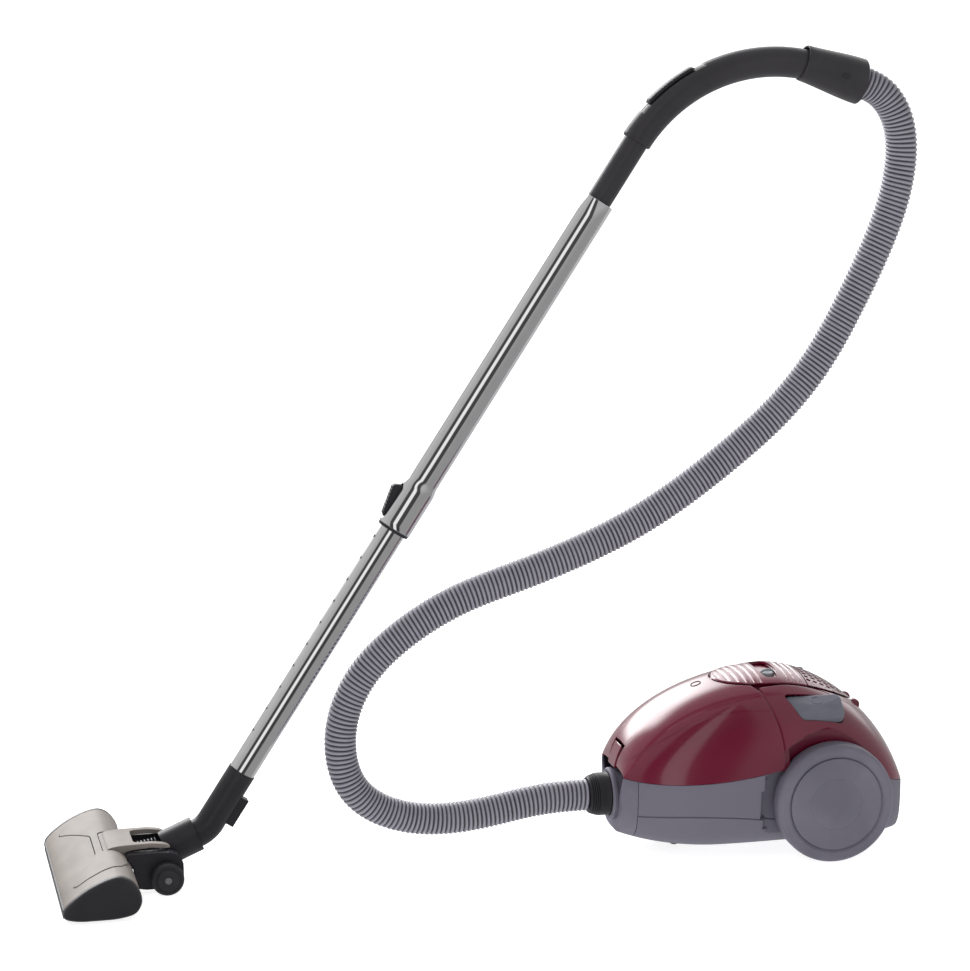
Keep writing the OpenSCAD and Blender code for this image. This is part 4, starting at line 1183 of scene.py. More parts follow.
@dataclass(frozen=True)
class CanisterFittings:
    """Knob, latch, window, inlet and lugs on the canister's outside."""

    size: Sizes = SIZE
    latch_w: float = 28.0
    window_x: float = 104.0
    window_slope: float = 19.0

    def knob(self) -> bpy.types.Object:
        """The slide knob: a shallow dish with a raised finger bar."""
        low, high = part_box("suction_knob")
        middle = np.array([(low[0] + high[0]) / 2, (low[1] + high[1]) / 2, 0]) / MM
        top = high[2] / MM
        dish = revolve("knob_dish", [
            (0, top - 24), (3, top - 24), (3, top - 16), (8.4, top - 16), (9, top - 15.4), (9, top - 5.6),
            (8.4, top - 4.8), (7.2, top - 4.6), (5.5, top - 5.4), (0, top - 5.8),
        ], middle, (0, 0, 1), 64)
        u = np.linspace(0, np.pi, 26)
        spine = middle + np.stack([-8.6 * np.cos(u), 0 * u, top - 6 + 6 * np.sin(u) ** 0.6], -1)
        v = np.linspace(0, 1, 12)
        bar = []
        for k, point in enumerate(spine):
            half = 0.4 + 2.1 * math.sin(u[k]) ** 0.4
            turn = 2 * np.pi * v[:-1]
            ring = point + np.stack([0 * turn, half * np.cos(turn), -1.4 + 1.4 * np.sin(turn)], -1)
            bar.append(ring)
        grip = surface("knob_bar", np.array(bar), wrap=True, caps=True)
        tidy_mesh(grip)
        return join("suction_knob_cap", [dish, grip])

    def latch(self) -> bpy.types.Object:
        """The lid's latch: a wedge with a rolled finger edge."""
        s = self.size
        z = s.nose_belt + 1
        t = np.linspace(0, 1, 16)[:, None]
        outer = mix(np.array([[-2.0, z]]), np.array([[7.4, z + 27.4]]), t)
        outer[:, 0] -= 1.1 * np.sin(np.pi * t[:, 0])
        inner = np.array([[9.2, z + 25.8], [3.0, z]])
        outline = np.vstack([outer, inner])
        origin = np.array([s.nose_x, 0, 0])
        half = self.latch_w / 2
        piece = prism("latch_wedge", outline, origin, (1, 0, 0), (0, 0, 1), (0, 1, 0), -half, half)
        return soften(piece, 1.2)

    def lugs(self) -> bpy.types.Object:
        """Two rounded parking lugs at the back of the crest."""
        s = self.size
        x = 0.86 * s.can_l
        parts = []
        for side in (-1, 1):
            middle = np.array([s.nose_x + x, side * 17, float(FORM.top(np.array(x))) - 4])
            profile = [(0, -3), (6.4, -3), (7.2, -2.6), (7.5, -1.8), (7.5, 1.8), (7.2, 2.6), (6.4, 3), (0, 3)]
            parts.append(revolve(f"lug_{side}", profile, middle, (0, 1, 0), 48))
        return join("parking_lugs", parts)

    def window_ring(self) -> bpy.types.Object:
        """The chromed crescent round the bag indicator."""
        s = self.size
        x = self.window_x
        slope = math.radians(self.window_slope)
        middle = np.array([s.nose_x + x, 0, float(FORM.top(np.array(x)))])
        normal = np.array([-math.sin(slope), 0, math.cos(slope)])
        profile = [(5.6, -0.8), (5.6, 0.5), (6.1, 0.7), (6.8, 0.5), (6.9, -0.8), (5.6, -0.8)]
        return revolve("indicator_ring", profile, middle, normal, 64)

    def cuff(self) -> bpy.types.Object:
        """The swivelling hose cuff: smooth barrel, with grip ribs behind it."""
        s = self.size
        start = np.array([s.nose_x - s.cuff_l, 0, s.inlet_z])
        r = s.cuff_d / 2
        outline = [(16, 0), (s.hose_d / 2 + 2, 0)]
        for k in range(4):
            x = 1.6 + 2.4 * k
            outline += [(r - 3.6 + 0.8 * k, x), (r - 3.0 + 0.8 * k, x + 0.5), (r - 3.0 + 0.8 * k, x + 1.3)]
            outline += [(r - 4.0 + 0.8 * k, x + 1.8)]
        outline += [(r, 12), (r, s.cuff_l - 8), (r + 0.6, s.cuff_l - 7), (r - 3, s.cuff_l - 6.4)]
        outline += [(r - 3, s.cuff_l + 12), (16, s.cuff_l + 12), (16, 0)]
        return revolve("hose_cuff_barrel", outline, start, (1, 0, 0), 96)

    def make(self) -> None:
        """Builds or carries over each fitting."""
        add(self.knob(), Finish.SILVER, "suction_knob", "suction_knob")
        add(self.latch(), Finish.BURGUNDY, "latch", "lid_latch")
        add(self.lugs(), Finish.BURGUNDY, "canister")
        add(self.window_ring(), Finish.DARK, "lid")
        add(self.cuff(), Finish.DARK, "hose_cuff", "hose_cuff")
        carry("bag_full_window", Finish.CLEAR)
        carry("inlet_ring", Finish.GREY)
        carry("cord_outlet", Finish.DARK)


@dataclass(frozen=True)
class RunningGear:
    """Rear wheels, their caps, the axle stubs and the caster."""

    size: Sizes = SIZE

    def wheel(self, side: int, name: str) -> bpy.types.Object:
        """A rear wheel: soft tread, rolled shoulder and a recess for the cap."""
        s = self.size
        r = s.wheel_d / 2
        inner = s.can_w / 2 + 14 - s.wheel_w
        origin = np.array([s.nose_x + s.wheel_x, side * inner, r])
        shoulder = 7
        curve = [
            (r - shoulder + shoulder * math.sin(a), s.wheel_w - shoulder + shoulder * math.cos(a))
            for a in np.linspace(math.pi / 2, 0, 12)
        ]
        profile = [(5.1, 0), (14, 0), (14, 6), (r - 10, 6), (r - 10, 0), (r - 2, 0), (r - 0.6, 0.6), (r, 2)]
        profile += curve
        profile += [(r - 12.5, s.wheel_w), (r - 13.4, s.wheel_w - 0.6), (r - 14.4, s.wheel_w - 1.8)]
        profile += [(r - 15.5, s.wheel_w - 2.2), (r - 15.5, s.wheel_w - 4), (14, s.wheel_w - 4)]
        profile += [(14, s.wheel_w - 6), (5.1, s.wheel_w - 6), (5.1, 0)]
        return revolve(name, profile, origin, (0, side, 0), 160)

    def cap(self, side: int, name: str) -> bpy.types.Object:
        """A wheel cap: a shallow dish with a faint raised ring."""
        s = self.size
        r = s.wheel_d / 2
        origin = np.array([s.nose_x + s.wheel_x, side * (s.can_w / 2 + 14 - 4 + 0.05), r])
        profile = [(0, 0), (r - 16, 0), (r - 16, 2.4), (r - 16.5, 3.2), (r - 17.4, 3.6), (r - 22, 3.7)]
        profile += [(33.2, 4.0), (32.6, 3.9), (31.8, 3.55), (31, 3.9), (30.4, 4.05), (12, 4.15), (0, 4.2)]
        return revolve(name, profile, origin, (0, side, 0), 160, 25.0)

    def make(self) -> None:
        """Builds the wheels and carries over the caster."""
        for side, word in ((1, "left"), (-1, "right")):
            add(self.wheel(side, word + "_wheel_tyre"), Finish.GREY, word + "_wheel", word + "_wheel")
            add(self.cap(side, word + "_wheel_dish"), Finish.GREY, word + "_wheel", word + "_wheel_cap")
        for node, finish in (
            ("axle_stubs", Finish.STEEL), ("caster_socket", Finish.DARK), ("caster_fork", Finish.DARK),
            ("caster_wheel", Finish.TREAD),
        ):
            carry(node, finish)


@dataclass(frozen=True)
class Insides:
    """What the shells hide: bag, motor, reel, filters and board."""

    pieces: tuple[tuple[str, Finish], ...] = (
        ("lid_hinge_arms", Finish.DARK), ("inner_brackets", Finish.DARK), ("dust_bag", Finish.PAPER),
        ("bag_holder", Finish.SILVER), ("bulkhead", Finish.DARK), ("motor_filter", Finish.FLEECE),
        ("fan_cover", Finish.ZINC), ("motor_can", Finish.ZINC), ("motor_stator", Finish.COPPER),
        ("motor_rotor", Finish.COPPER), ("cord_reel", Finish.DARK), ("reel_spindle", Finish.DARK),
        ("exhaust_filter", Finish.FLEECE), ("circuit_board", Finish.BOARD),
    )

    def make(self) -> None:
        """Carries over each inner piece."""
        for node, finish in self.pieces:
            carry(node, finish)


# ------------------------------------------------------------------ hose


@dataclass(frozen=True)
class Hose:
    """The ribbed hose along its given route."""

    size: Sizes = SIZE
    pitch: float = 5.4
    depth: float = 2.0
    sides: int = 40
    route: tuple[tuple[float, float], ...] = (
        (460, 69), (400, 56), (340, 49), (280, 57), (222, 92), (210, 170), (240, 240), (300, 290),
        (365, 325), (435, 345), (505, 370), (575, 400), (640, 440), (700, 485), (755, 530),
        (805, 590), (840, 655), (872, 720), (895, 780), (904, 835), (898, 880), (875, 912),
    )

    def centre(self) -> Grid:
        """Close points of the centre line: a uniform cubic spline through the route's control points."""
        s = self.size
        start = np.array([s.nose_x - s.cuff_l - s.gap, s.inlet_z])
        leave = s.grip_end + 46 * s.end_dir
        end = np.array([leave[0], leave[2]])
        first = np.array([s.axle_x + 518, 69])
        last = np.array([s.axle_x + 845, 922])
        n = len(self.route) + 1
        control = [start]
        for i, (x, z) in enumerate(self.route, 1):
            f = i / n
            control.append(np.array([s.axle_x + x, z]) + (1 - f) * (start - first) + f * (end - last))
        control.append(end)
        control = [2 * control[0] - control[1]] + control + [2 * control[-1] - control[-2]]
        c = np.array(control)
        u = np.linspace(0, n, 6000)
        i = np.minimum(np.floor(u).astype(int), n - 1)
        f = (u - i)[:, None]
        line = (
            (1 - f) ** 3 * c[i] + (3 * f**3 - 6 * f**2 + 4) * c[i + 1]
            + (-3 * f**3 + 3 * f**2 + 3 * f + 1) * c[i + 2] + f**3 * c[np.minimum(i + 3, len(c) - 1)]
        ) / 6
        step = np.hypot(*np.diff(line, axis=0).T)
        along = np.concatenate([[0], np.cumsum(step)])
        rings = int(along[-1] / (self.pitch / 6))
        even = np.linspace(0, along[-1], rings)
        x, z = np.interp(even, along, line[:, 0]), np.interp(even, along, line[:, 1])
        return np.stack([x, 0 * even, z], -1)

    def make(self) -> bpy.types.Object:
        line = self.centre()
        tangent = np.gradient(line, axis=0)
        tangent /= np.linalg.norm(tangent, axis=1)[:, None]
        side = np.array([0.0, 1.0, 0.0])
        up = np.cross(tangent, side)
        angle = 2 * np.pi * np.arange(self.sides) / self.sides
        length = float(np.linalg.norm(np.diff(line, axis=0), axis=1).sum())
        along = np.linspace(0, length, len(line))
        phase = 2 * np.pi * along[:, None] / self.pitch + angle[None]
        ridge = (0.5 + 0.5 * np.cos(phase)) ** 0.7
        radius = self.size.hose_d / 2 + 0.4 - self.depth * (1 - ridge)
        grid = line[:, None] + radius[..., None] * (
            np.cos(angle)[None, :, None] * side + np.sin(angle)[None, :, None] * up[:, None]
        )
        piece = surface("ribbed_hose", grid, wrap=True, caps=True, sharp=80.0)
        tidy_mesh(piece, 80.0)
        layer = piece.data.attributes.new("ridge", "FLOAT", "POINT")
        values = np.concatenate([ridge.ravel(), [0.0, 0.0]])[: len(piece.data.vertices)]
        layer.data.foreach_set("value", values.astype(np.float32))
        add(piece, Finish.HOSE, "canister", "hose")
        return piece


# ------------------------------------------------------------------ handle


@dataclass(frozen=True)
class Handle:
    """The curved grip, its slider, and the housing and ring at the hose end."""

    size: Sizes = SIZE
    slider_from: float = 45.0
    slider_to: float = 27.0

    def on_arc(self, angle: Grid) -> tuple[Grid, Grid]:
        """Points of the grip's centre line and the outward directions; the angle falls towards the hose."""
        a = np.radians(90 + angle)
        out = np.stack([np.cos(a), 0 * a, np.sin(a)], -1)
        return self.size.arc_centre + self.size.grip_r * out, out

    def grip_half(self, side: int) -> bpy.types.Object:
        """One half of the grip: the half section carried along the arc, with a groove for the slider."""
        s = self.size
        angle = np.linspace(s.wand_angle, -s.arc_end, 160)
        middle, out = self.on_arc(angle)
        turn = np.linspace(-90, 90, 61)
        c, n = np.cos(np.radians(turn)), np.sin(np.radians(turn))
        across = 0.15 + (s.grip_w / 2 - 0.15) * c
        radial = s.grip_t / 2 * n
        slider_mid = (self.slider_from + self.slider_to) / 2
        slider_half = (self.slider_from - self.slider_to) / 2
        reach = np.abs(angle - slider_mid) - slider_half - 3
        groove = 1 - smooth_step(reach, 0.0, 0.6)
        near_top = 1 - smooth_step(np.abs(across), 8.6, 9.4)
        sunk = groove[:, None] * (near_top * (n > 0.5))[None] * 1.6
        ends = np.minimum(np.abs(angle - s.wand_angle), np.abs(angle + s.arc_end))
        ends = ends * math.radians(1) * s.grip_r
        shrink = 1 - 0.05 * (1 - np.minimum(1, ends / 1.6))[:, None] ** 2
        r = radial[None] * shrink - sunk
        grid = middle[:, None] + r[..., None] * out[:, None]
        grid = grid + (side * across[None] * shrink)[..., None] * np.array([0.0, 1.0, 0.0])
        piece = surface(f"grip_{'left' if side > 0 else 'right'}_shell", grid, flip=side < 0, sharp=50.0)
        return thicken(piece, 2.2)

    def slider(self) -> bpy.types.Object:
        """The suction slider: a long pad with finger ribs."""
        s = self.size
        angle = np.linspace(self.slider_from, self.slider_to, 150)
        middle, out = self.on_arc(angle)
        turn = np.linspace(0, 1, 25)
        half = 7.5
        across = half * np.cos(np.pi * turn)
        lift = 4.2 * np.sin(np.pi * turn) ** 0.5 - 0.9
        f = np.linspace(0, 1, len(angle))
        ends = np.minimum(1, np.minimum(f, 1 - f) / 0.06) ** 0.5
        ribbed = smooth_step(f, 0.25, 0.3) * (1 - smooth_step(f, 0.7, 0.75))
        rib = 0.45 * np.maximum(0, np.cos(2 * np.pi * f * 16)) * ribbed
        height = (s.grip_t / 2 - 0.2) + ends[:, None] * np.maximum(lift, 0.0)[None]
        height = height - rib[:, None] * (lift > 1)[None]
        height[:, 0] = height[:, -1] = s.grip_t / 2 - 1.0
        grid = middle[:, None] + height[..., None] * out[:, None]
        grid = grid + (across[None] * (0.9 + 0.1 * ends[:, None]))[..., None] * np.array([0.0, 1.0, 0.0])
        piece = surface("slider_pad", grid, sharp=60.0)
        return thicken(piece, 0.8)

    def housing(self) -> bpy.types.Object:
        """The hose end housing: a flaring barrel with a slanted lip."""
        s = self.size
        u = np.linspace(0, 1, 60)
        angle = 2 * np.pi * np.arange(96) / 96
        side = np.array([0.0, 1.0, 0.0])
        up = np.cross(s.end_dir, side)
        rows = []
        for f in u:
            length = mix(-27.0, 50.0, f)
            radius = 21.2 + 5.8 * smooth_step(np.array(f), -0.1, 1.0)
            radius -= 0.9 * max(0.0, 1 - f / 0.03) ** 2 + 0.8 * max(0.0, (f - 0.98) / 0.02) ** 2
            slant = 3.0 * f * np.sin(angle)
            ring = s.grip_end + (length - slant * 0.6)[:, None] * s.end_dir
            rows.append(ring + radius * (np.cos(angle)[:, None] * side + np.sin(angle)[:, None] * up))
        piece = surface("hose_end_barrel", np.array(rows), wrap=True)
        tidy_mesh(piece)
        return thicken(piece, 2.2)

    def window_shade(self) -> bpy.types.Object:
        """Small dark plates on each side of the housing: painted shade standing in for a small window recess.
        """
        s = self.size
        up = np.cross(s.end_dir, np.array([0.0, 1.0, 0.0]))
        plates = [
            prism(
                f"catch_{side}", rounded_rect(9, 7, 1.4), s.grip_end + 22 * s.end_dir, s.end_dir, up,
                (0, side, 0), 22.5, 26.2
            )
            for side in (-1, 1)
        ]
        return soften(join("hose_window_shades", plates), 0.5)

    def make(self) -> None:
        """Builds the handle's pieces."""
        # dark plates: painted shade for the housing's small side windows
        add(self.window_shade(), Finish.TREAD, "handle")
        add(self.grip_half(1), Finish.HANDLE, "handle", "grip_left_half")
        add(self.grip_half(-1), Finish.HANDLE, "handle", "grip_right_half")
        add(self.slider(), Finish.DARK, "suction_slider", "suction_slider")
        add(self.housing(), Finish.HANDLE, "handle", "hose_end_housing")
        carry("hose_end_ring", Finish.DARK)
        carry("air_duct", Finish.HANDLE)


# ------------------------------------------------------------------ wand


@dataclass(frozen=True)
class Wand:
    """The telescopic wand with its collar, latch button and elbow."""

    size: Sizes = SIZE
    collar_l: float = 52.0
    cone_l: float = 13.0
    wall: float = 1.0

    def at(self, t: float) -> np.ndarray:
        """A point on the wand's line."""
        return self.size.bend + t * self.size.wand_dir

    @property
    def collar_t(self) -> float:
        """Where the upper tube starts."""
        return self.size.elbow_top + self.size.lower_show

    def upper_tube(self) -> bpy.types.Object:
        """The upper tube: swaged collar with the button's window, cone and plain tube."""
        s = self.size
        top = s.wand_l - self.collar_t
        r, c = s.upper_d / 2, (s.upper_d + 4) / 2
        window_low, window_high = 5.5, 49.5
        along = [0.0, 0.4, window_low] + list(np.linspace(window_low, window_high, 9)[1:]) + [self.collar_l]
        along += [self.collar_l + self.cone_l * f for f in np.linspace(0, 1, 12)[1:]]
        along += list(np.linspace(self.collar_l + self.cone_l, top - 0.4, 20)[1:]) + [top]
        t = np.array(along)
        radius = mix(c, r, smooth_step(t, self.collar_l, self.collar_l + self.cone_l))
        radius[0] -= 0.3
        radius[-1] -= 0.3
        cols = 160
        angle = 2 * np.pi * np.arange(cols) / cols
        out, across = self.window_axes()
        ring = np.cos(angle)[:, None] * across + np.sin(angle)[:, None] * out
        grid = self.at(self.collar_t) + t[:, None, None] * s.wand_dir + radius[:, None, None] * ring
        faces = grid_faces(len(t), cols, True)
        half = int(cols / 4 * math.degrees(math.asin(5.3 / c)) / 90)
        row, col = faces[:, 0] // cols, faces[:, 0] % cols
        middle = t[np.minimum(row, len(t) - 2)]
        in_window = (middle >= window_low) & (middle < window_high - 0.1) & (row < 11)
        in_window &= (col >= cols // 4 - half) & (col < cols // 4 + half)
        tube = make_mesh("upper_tube_skin", grid.reshape(-1, 3), faces[~in_window][:, ::-1].tolist())
        tube = thicken(tube, self.wall)
        return tube

    def window_axes(self) -> tuple[np.ndarray, np.ndarray]:
        """Outward direction of the latch button and the direction across it."""
        angle = math.radians(90 - self.size.wand_angle)
        return np.array([-math.cos(angle), 0, math.sin(angle)]), np.array([0.0, 1.0, 0.0])

    def button(self) -> bpy.types.Object:
        """The latch button: a ribbed wedge, high at its upper end."""
        out, across = self.window_axes()
        base = (self.size.upper_d + 4) / 2
        slope = [(0.0, 3.4), (2.0, 4.0)] + [
            (2 + 31 * f, 4 + 6.3 * f + 0.35 * math.cos(2 * math.pi * f * 7)) for f in np.linspace(0.04, 1, 64)
        ]
        outline = [(-2.0, 0.0)] + slope + [(35.0, 9.7), (36.4, 8.6), (40.0, 1.0), (38.0, 0.0)]
        origin = self.at(self.collar_t + 8) + base * out
        piece = prism("latch_wedge_button", np.array(outline), origin, self.size.wand_dir, out, across, -5, 5)
        return soften(piece, 0.7, 55.0)

    def make(self) -> None:
        """Builds the wand's pieces."""
        add(self.upper_tube(), Finish.CHROME, "handle", "upper_tube")
        add(self.button(), Finish.DARK, "tube_latch_button", "tube_latch_button")
        carry("tube_guide", Finish.DARK)
        carry("lower_tube", Finish.CHROME)
        carry("elbow", Finish.DARK)


# ------------------------------------------------------------------ floor head


@dataclass(frozen=True)
class FloorHead:
    """The tilting floor head: cover, rocker pedal, bridge over the spring, end caps and rollers."""

    size: Sizes = SIZE
    cap_w: float = 16.0
    bridge_w: float = 64.0
    rail_w: float = 9.0

    def profile(self, inset: float, radius: float = 9.0) -> Grid:
        """Side outline of the head, x from the axle and height, with rounded corners."""
        s = self.size
        f, h = s.head_front, s.head_h
        corners = np.array([
            (-f + inset, 7 + inset * 0.5), (-f + 18, 3 + inset), (-68, 3 + inset), (-46, 7 + inset),
            (-38 - inset, 20), (-40 - inset, 34), (-50 - inset * 0.7, h - 6 - inset), (-62, h - inset),
            (-78, h - 3 - inset), (-100, h * 0.76 - inset), (-118, h * 0.52 - inset), (-f + inset, h * 0.32),
        ])
        return round_corners(corners, radius, 7)

    def top_path(self, inset: float) -> Grid:
        """The part of the outline above the line between cover and base, from the rear to the front."""
        outline = self.profile(inset)
        outline = np.vstack([outline, outline[:1]])
        step = np.hypot(*np.diff(outline, axis=0).T)
        along = np.concatenate([[0], np.cumsum(step)])
        even = np.linspace(0, along[-1], 400)
        path = np.stack([np.interp(even, along, outline[:, 0]), np.interp(even, along, outline[:, 1])], -1)
        return path[path[:, 1] > split_height(path[:, 0] + self.size.head_front) + 0.15]

    def skin(self, name: str, inset: float, wall: float) -> bpy.types.Object:
        """A walled sheet that follows the head's upper outline across its width."""
        s = self.size
        path = self.top_path(inset)
        half = s.head_w / 2 - self.cap_w + 6
        y = np.linspace(-half, half, 40)
        shape = (len(path), len(y))
        grid = np.stack([
            np.broadcast_to(s.axle_x + path[:, :1], shape), np.broadcast_to(y[None], shape),
            np.broadcast_to(path[:, 1:], shape),
        ], -1)
        sheet = surface(name, grid)
        solid = sheet.modifiers.new("wall", "SOLIDIFY")
        solid.thickness = wall * MM
        solid.offset = -1
        return sheet

    def bow_tie(self, grow: float) -> bpy.types.Object:
        """The rocker pedal's plan as an upright block: two wings joined by a narrow waist."""
        g = grow
        wing = [
            (-73 + g, 36 - g), (-47 + g, 36 - g), (-47 + g, 64), (-58, 92 + g), (-108 - g, 101 + g),
            (-113 - g, 95), (-81 - g, 34),
        ]
        outline = np.array(wing + [(x, -y) for x, y in reversed(wing)], float)
        origin = np.array([self.size.axle_x, 0, 0])
        return prism(
            "rocker_plan", round_corners(outline, 5.0, 5), origin, (1, 0, 0), (0, 1, 0), (0, 0, 1), 12, 90
        )

    def cover(self) -> bpy.types.Object:
        """The cover, with the pedal's opening cut out."""
        piece = self.skin("head_cover_skin", 0.0, 2.4)
        cut_away(piece, self.bow_tie(1.0))
        return soften(piece, 0.7)

    def bridge(self) -> bpy.types.Object:
        """The tongue that runs back over the spring to the neck, on two rails."""
        s = self.size
        h = s.head_h
        side = np.array([
            (-71.5, h - 5), (-66, h + 1), (-52, h + 3), (-16, h + 3.5), (0, h + 1.5), (7, h - 2.5),
            (3, h - 4), (-16, h - 2), (-40, h - 3.5), (-52, h - 8),
        ])
        origin = np.array([s.axle_x, 0, 0])
        half = self.bridge_w / 2
        piece = prism(
            "head_bridge", round_corners(side, 4.0, 5), origin, (1, 0, 0), (0, 0, 1), (0, 1, 0), -half, half
        )
        inner = half - self.rail_w
        window = rounded_rect(60, 2 * inner, 6)
        cut_away(piece, prism(
            "spring_window", window, origin + np.array([-6.0, 0, 0]), (1, 0, 0), (0, 1, 0), (0, 0, 1), 30, 90
        ))
        return soften(piece, 2.0, 45.0)

    def pedal(self) -> bpy.types.Object:
        """The rocker pedal: the outline's skin, raised a little, inside the bow-tie plan."""
        piece = self.skin("floor_pedal_plate", -0.8, 4.0)
        cut_away(piece, self.bow_tie(0.0), keep_inside=True)
        return soften(piece, 0.9)

    def end_cap(self, side: int) -> bpy.types.Object:
        """A rounded end cap."""
        s = self.size
        start, end, crown = s.head_w / 2 - self.cap_w + 6.2, s.head_w / 2, 6.0
        turn = np.linspace(0, np.pi / 2, 9)
        stations = [(start, 1.2), (start, -0.2)]
        stations += [(end - crown + crown * math.sin(t), -0.2 + 5 * (1 - math.cos(t))) for t in turn]
        rings = []
        for y, inset in stations:
            outline = self.profile(inset)
            across = np.full(len(outline), side * y)
            rings.append(np.stack([s.axle_x + outline[:, 0], across, outline[:, 1]], -1))
        word = "left" if side > 0 else "right"
        piece = surface(f"head_end_cap_{word}", np.array(rings), wrap=True, caps=True)
        tidy_mesh(piece, 50.0)
        return piece

    def roller(self, side: int, name: str) -> bpy.types.Object:
        """A roller with a rounded tread, a groove and a raised hub."""
        s = self.size
        low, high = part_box(name)
        inner = min(abs(low[1]), abs(high[1])) / MM
        r = s.roller_d / 2
        bore = 4.05
        profile = [(bore, 0), (r - 1, 0), (r - 0.3, 0.3), (r, 1), (r, 10.4), (r - 0.5, 11.8), (r - 1.9, 12.9)]
        profile += [(r - 3.2, 13), (r - 4, 12.4), (13.6, 12.4), (13.1, 13.2), (12.4, 14.2), (11.4, 14.5)]
        profile += [(bore, 14.5), (bore, 0)]
        return revolve(name + "_tread", profile, np.array([s.axle_x, side * inner, r]), (0, side, 0), 96)

    def make(self) -> None:
        """Builds the head's skins and carries over the rest."""
        add(self.cover(), Finish.STONE, "floor_head", "head_cover")
        add(self.bridge(), Finish.STONE, "floor_head")
        add(self.pedal(), Finish.STONE, "floor_pedal", "floor_pedal")
        caps = join("head_end_cap_pair", [self.end_cap(1), self.end_cap(-1)])
        tidy_mesh(caps, 50.0)
        add(caps, Finish.DARK, "floor_head", "head_end_caps")
        for side, name in ((1, "left_roller"), (-1, "right_roller")):
            add(self.roller(side, name), Finish.TREAD, name, name)
        for node, finish in (
            ("neck", Finish.DARK), ("neck_spring", Finish.STEEL), ("head_base", Finish.DARK),
            ("sole_plate", Finish.SOLE), ("brush_strips", Finish.BRISTLE), ("head_axle", Finish.STEEL),
        ):
            carry(node, finish)


def split_height(x: Grid) -> Grid:
    """Height of the line between head cover and base, x from the front edge."""
    return np.where(x < 55, mix(16.0, 26.0, np.clip((x + 5) / 60, 0, 1)), 26.0)


def round_corners(corners: Grid, radius: float, steps: int) -> Grid:
    """Replaces each corner of a closed outline by a short curve."""
    points = []
    n = len(corners)
    for k in range(n):
        before, here, after = corners[k - 1], corners[k], corners[(k + 1) % n]
        back, ahead = before - here, after - here
        cut_back = min(radius, 0.45 * np.linalg.norm(back))
        cut_ahead = min(radius, 0.45 * np.linalg.norm(ahead))
        start = here + back / np.linalg.norm(back) * cut_back
        end = here + ahead / np.linalg.norm(ahead) * cut_ahead
        for f in np.linspace(0, 1, steps):
            points.append((1 - f) ** 2 * start + 2 * f * (1 - f) * here + f**2 * end)
    return np.array(points)


# ------------------------------------------------------------------ studio


class Sky(Graph):
    """The room round the machine: white behind it, dimmer on the camera's side, with one bright strip."""

    def __init__(self) -> None:
        """Makes a world with a background and an output."""
        self.world = bpy.data.worlds.new("studio")
        self.world.use_nodes = True
        self.tree = self.world.node_tree

    def paint(self) -> None:
        """Paints the room by direction and uses it."""
        where = self.node("ShaderNodeTexCoord", {}, {}).out("Generated")
        split = self.node("ShaderNodeSeparateXYZ", {}, {0: where})
        x, y, z = split.out("X"), split.out("Y"), split.out("Z")
        behind = y.ramp(-0.25, 0.35)
        turn = self.math("ARCTAN2", x, y * -1.0)
        off = abs(turn + 0.45)
        strip = 1.0 - off.ramp(0.13, 0.2)
        band = 1.0 - off.ramp(0.5, 0.62)
        front = ((z + 0.1).ramp(-0.25, 0.35) * 0.15 + 0.32) * (1.0 - band * 0.85) + strip * 0.9
        height = z.ramp(0.1, 0.3) * (1.0 - z.ramp(0.62, 0.82))
        sideways = x.ramp(-0.55, -0.38) * (1.0 - x.ramp(-0.15, 0.25) * 0.8)
        glow = height * sideways * y.ramp(0.35, 0.6) * 6.0
        shade = front * (1.0 - behind) + behind * (glow + 0.55)
        background = self.tree.nodes["Background"]
        background.inputs["Color"].default_value = (1.0, 1.0, 1.0, 1.0)
        self.tree.links.new(shade.socket, background.inputs["Strength"])
        bpy.context.scene.world = self.world


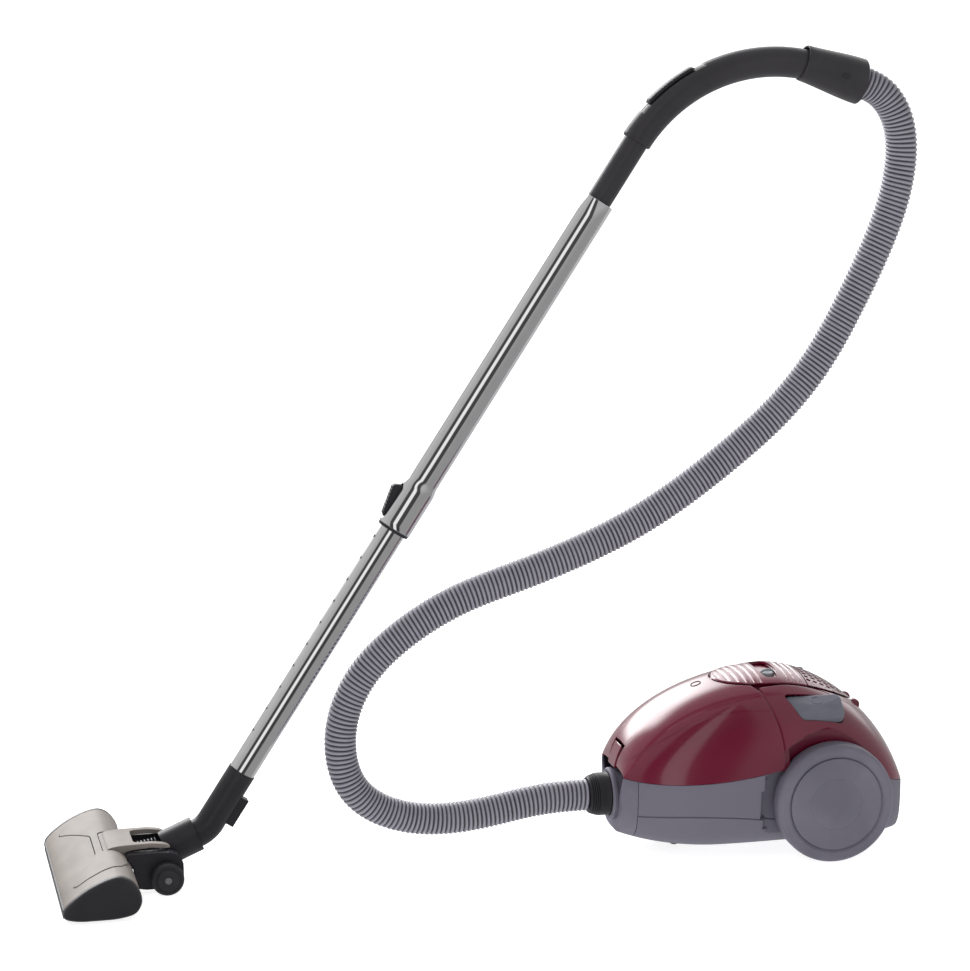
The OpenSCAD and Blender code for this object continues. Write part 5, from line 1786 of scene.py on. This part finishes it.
@dataclass(frozen=True)
class Studio:
    """Camera, floor and soft light."""

    eye: tuple[float, float, float] = (-0.7707, -3.3591, 1.1658)
    look: tuple[float, float, float] = (0.2204, 0.9545, -0.2011)
    lens: float = 110.7

    def camera(self) -> None:
        """Sets the camera at the side of the machine, a little above it."""
        data = bpy.data.cameras.new("camera")
        data.lens = self.lens
        data.sensor_width = 36.0
        data.clip_end = 60.0
        camera = bpy.data.objects.new("camera", data)
        camera.location = self.eye
        camera.rotation_euler = Vector(self.look).to_track_quat("-Z", "Y").to_euler()
        bpy.context.scene.collection.objects.link(camera)
        bpy.context.scene.camera = camera

    def floor(self) -> None:
        """A pale floor that curves up far behind the machine."""
        x = np.linspace(-9000, 9000, 3)
        bend = np.linspace(0, np.pi / 2, 24)
        radius = 2500.0
        y = np.concatenate([[-9000], 4200 + radius * np.sin(bend), [4200 + radius]])
        z = np.concatenate([[0], radius * (1 - np.cos(bend)), [7000]])
        grid = np.stack([
            np.broadcast_to(x[:, None], (len(x), len(y))), np.broadcast_to(y[None], (len(x), len(y))),
            np.broadcast_to(z[None] - 0.2, (len(x), len(y))),
        ], -1)
        sweep = surface("studio_sweep", grid)
        dress(sweep, Finish.FLOOR)
        sweep.visible_glossy = False

    def light(
        self, name: str, place: Sequence[float], power: float, size: float, aim: Sequence[float]
    ) -> None:
        """One square soft light."""
        data = bpy.data.lights.new(name, "AREA")
        data.energy = power
        data.size = size
        lamp = bpy.data.objects.new(name, data)
        lamp.location = place
        lamp.visible_camera = False
        lamp.visible_glossy = False
        lamp.rotation_euler = (Vector(aim) - Vector(place)).to_track_quat("-Z", "Y").to_euler()
        bpy.context.scene.collection.objects.link(lamp)

    def make(self) -> None:
        """Builds the studio."""
        self.camera()
        self.floor()
        Sky().paint()
        bpy.context.scene.view_settings.view_transform = "Standard"
        self.light("key", (-2.2, -1.6, 3.2), 40.0, 1.6, (0.1, 0, 0.3))
        self.light("fill", (1.8, -3.0, 1.6), 10.0, 2.0, (0.1, 0, 0.3))
        self.light("crest", (-0.8, 1.9, 1.9), 80.0, 1.6, (0.25, 0, 0.15))


def main() -> None:
    """Builds the machine."""
    logging.basicConfig(level=logging.INFO, format="%(name)s: %(message)s")
    Studio().make()
    Hose().make()
    canister = (CanisterShells(), PEDALS, CanisterFittings(), RunningGear(), Insides())
    for assembly in (*canister, Handle(), Wand(), FloorHead()):
        assembly.make()


if __name__ == "__main__":
    main()
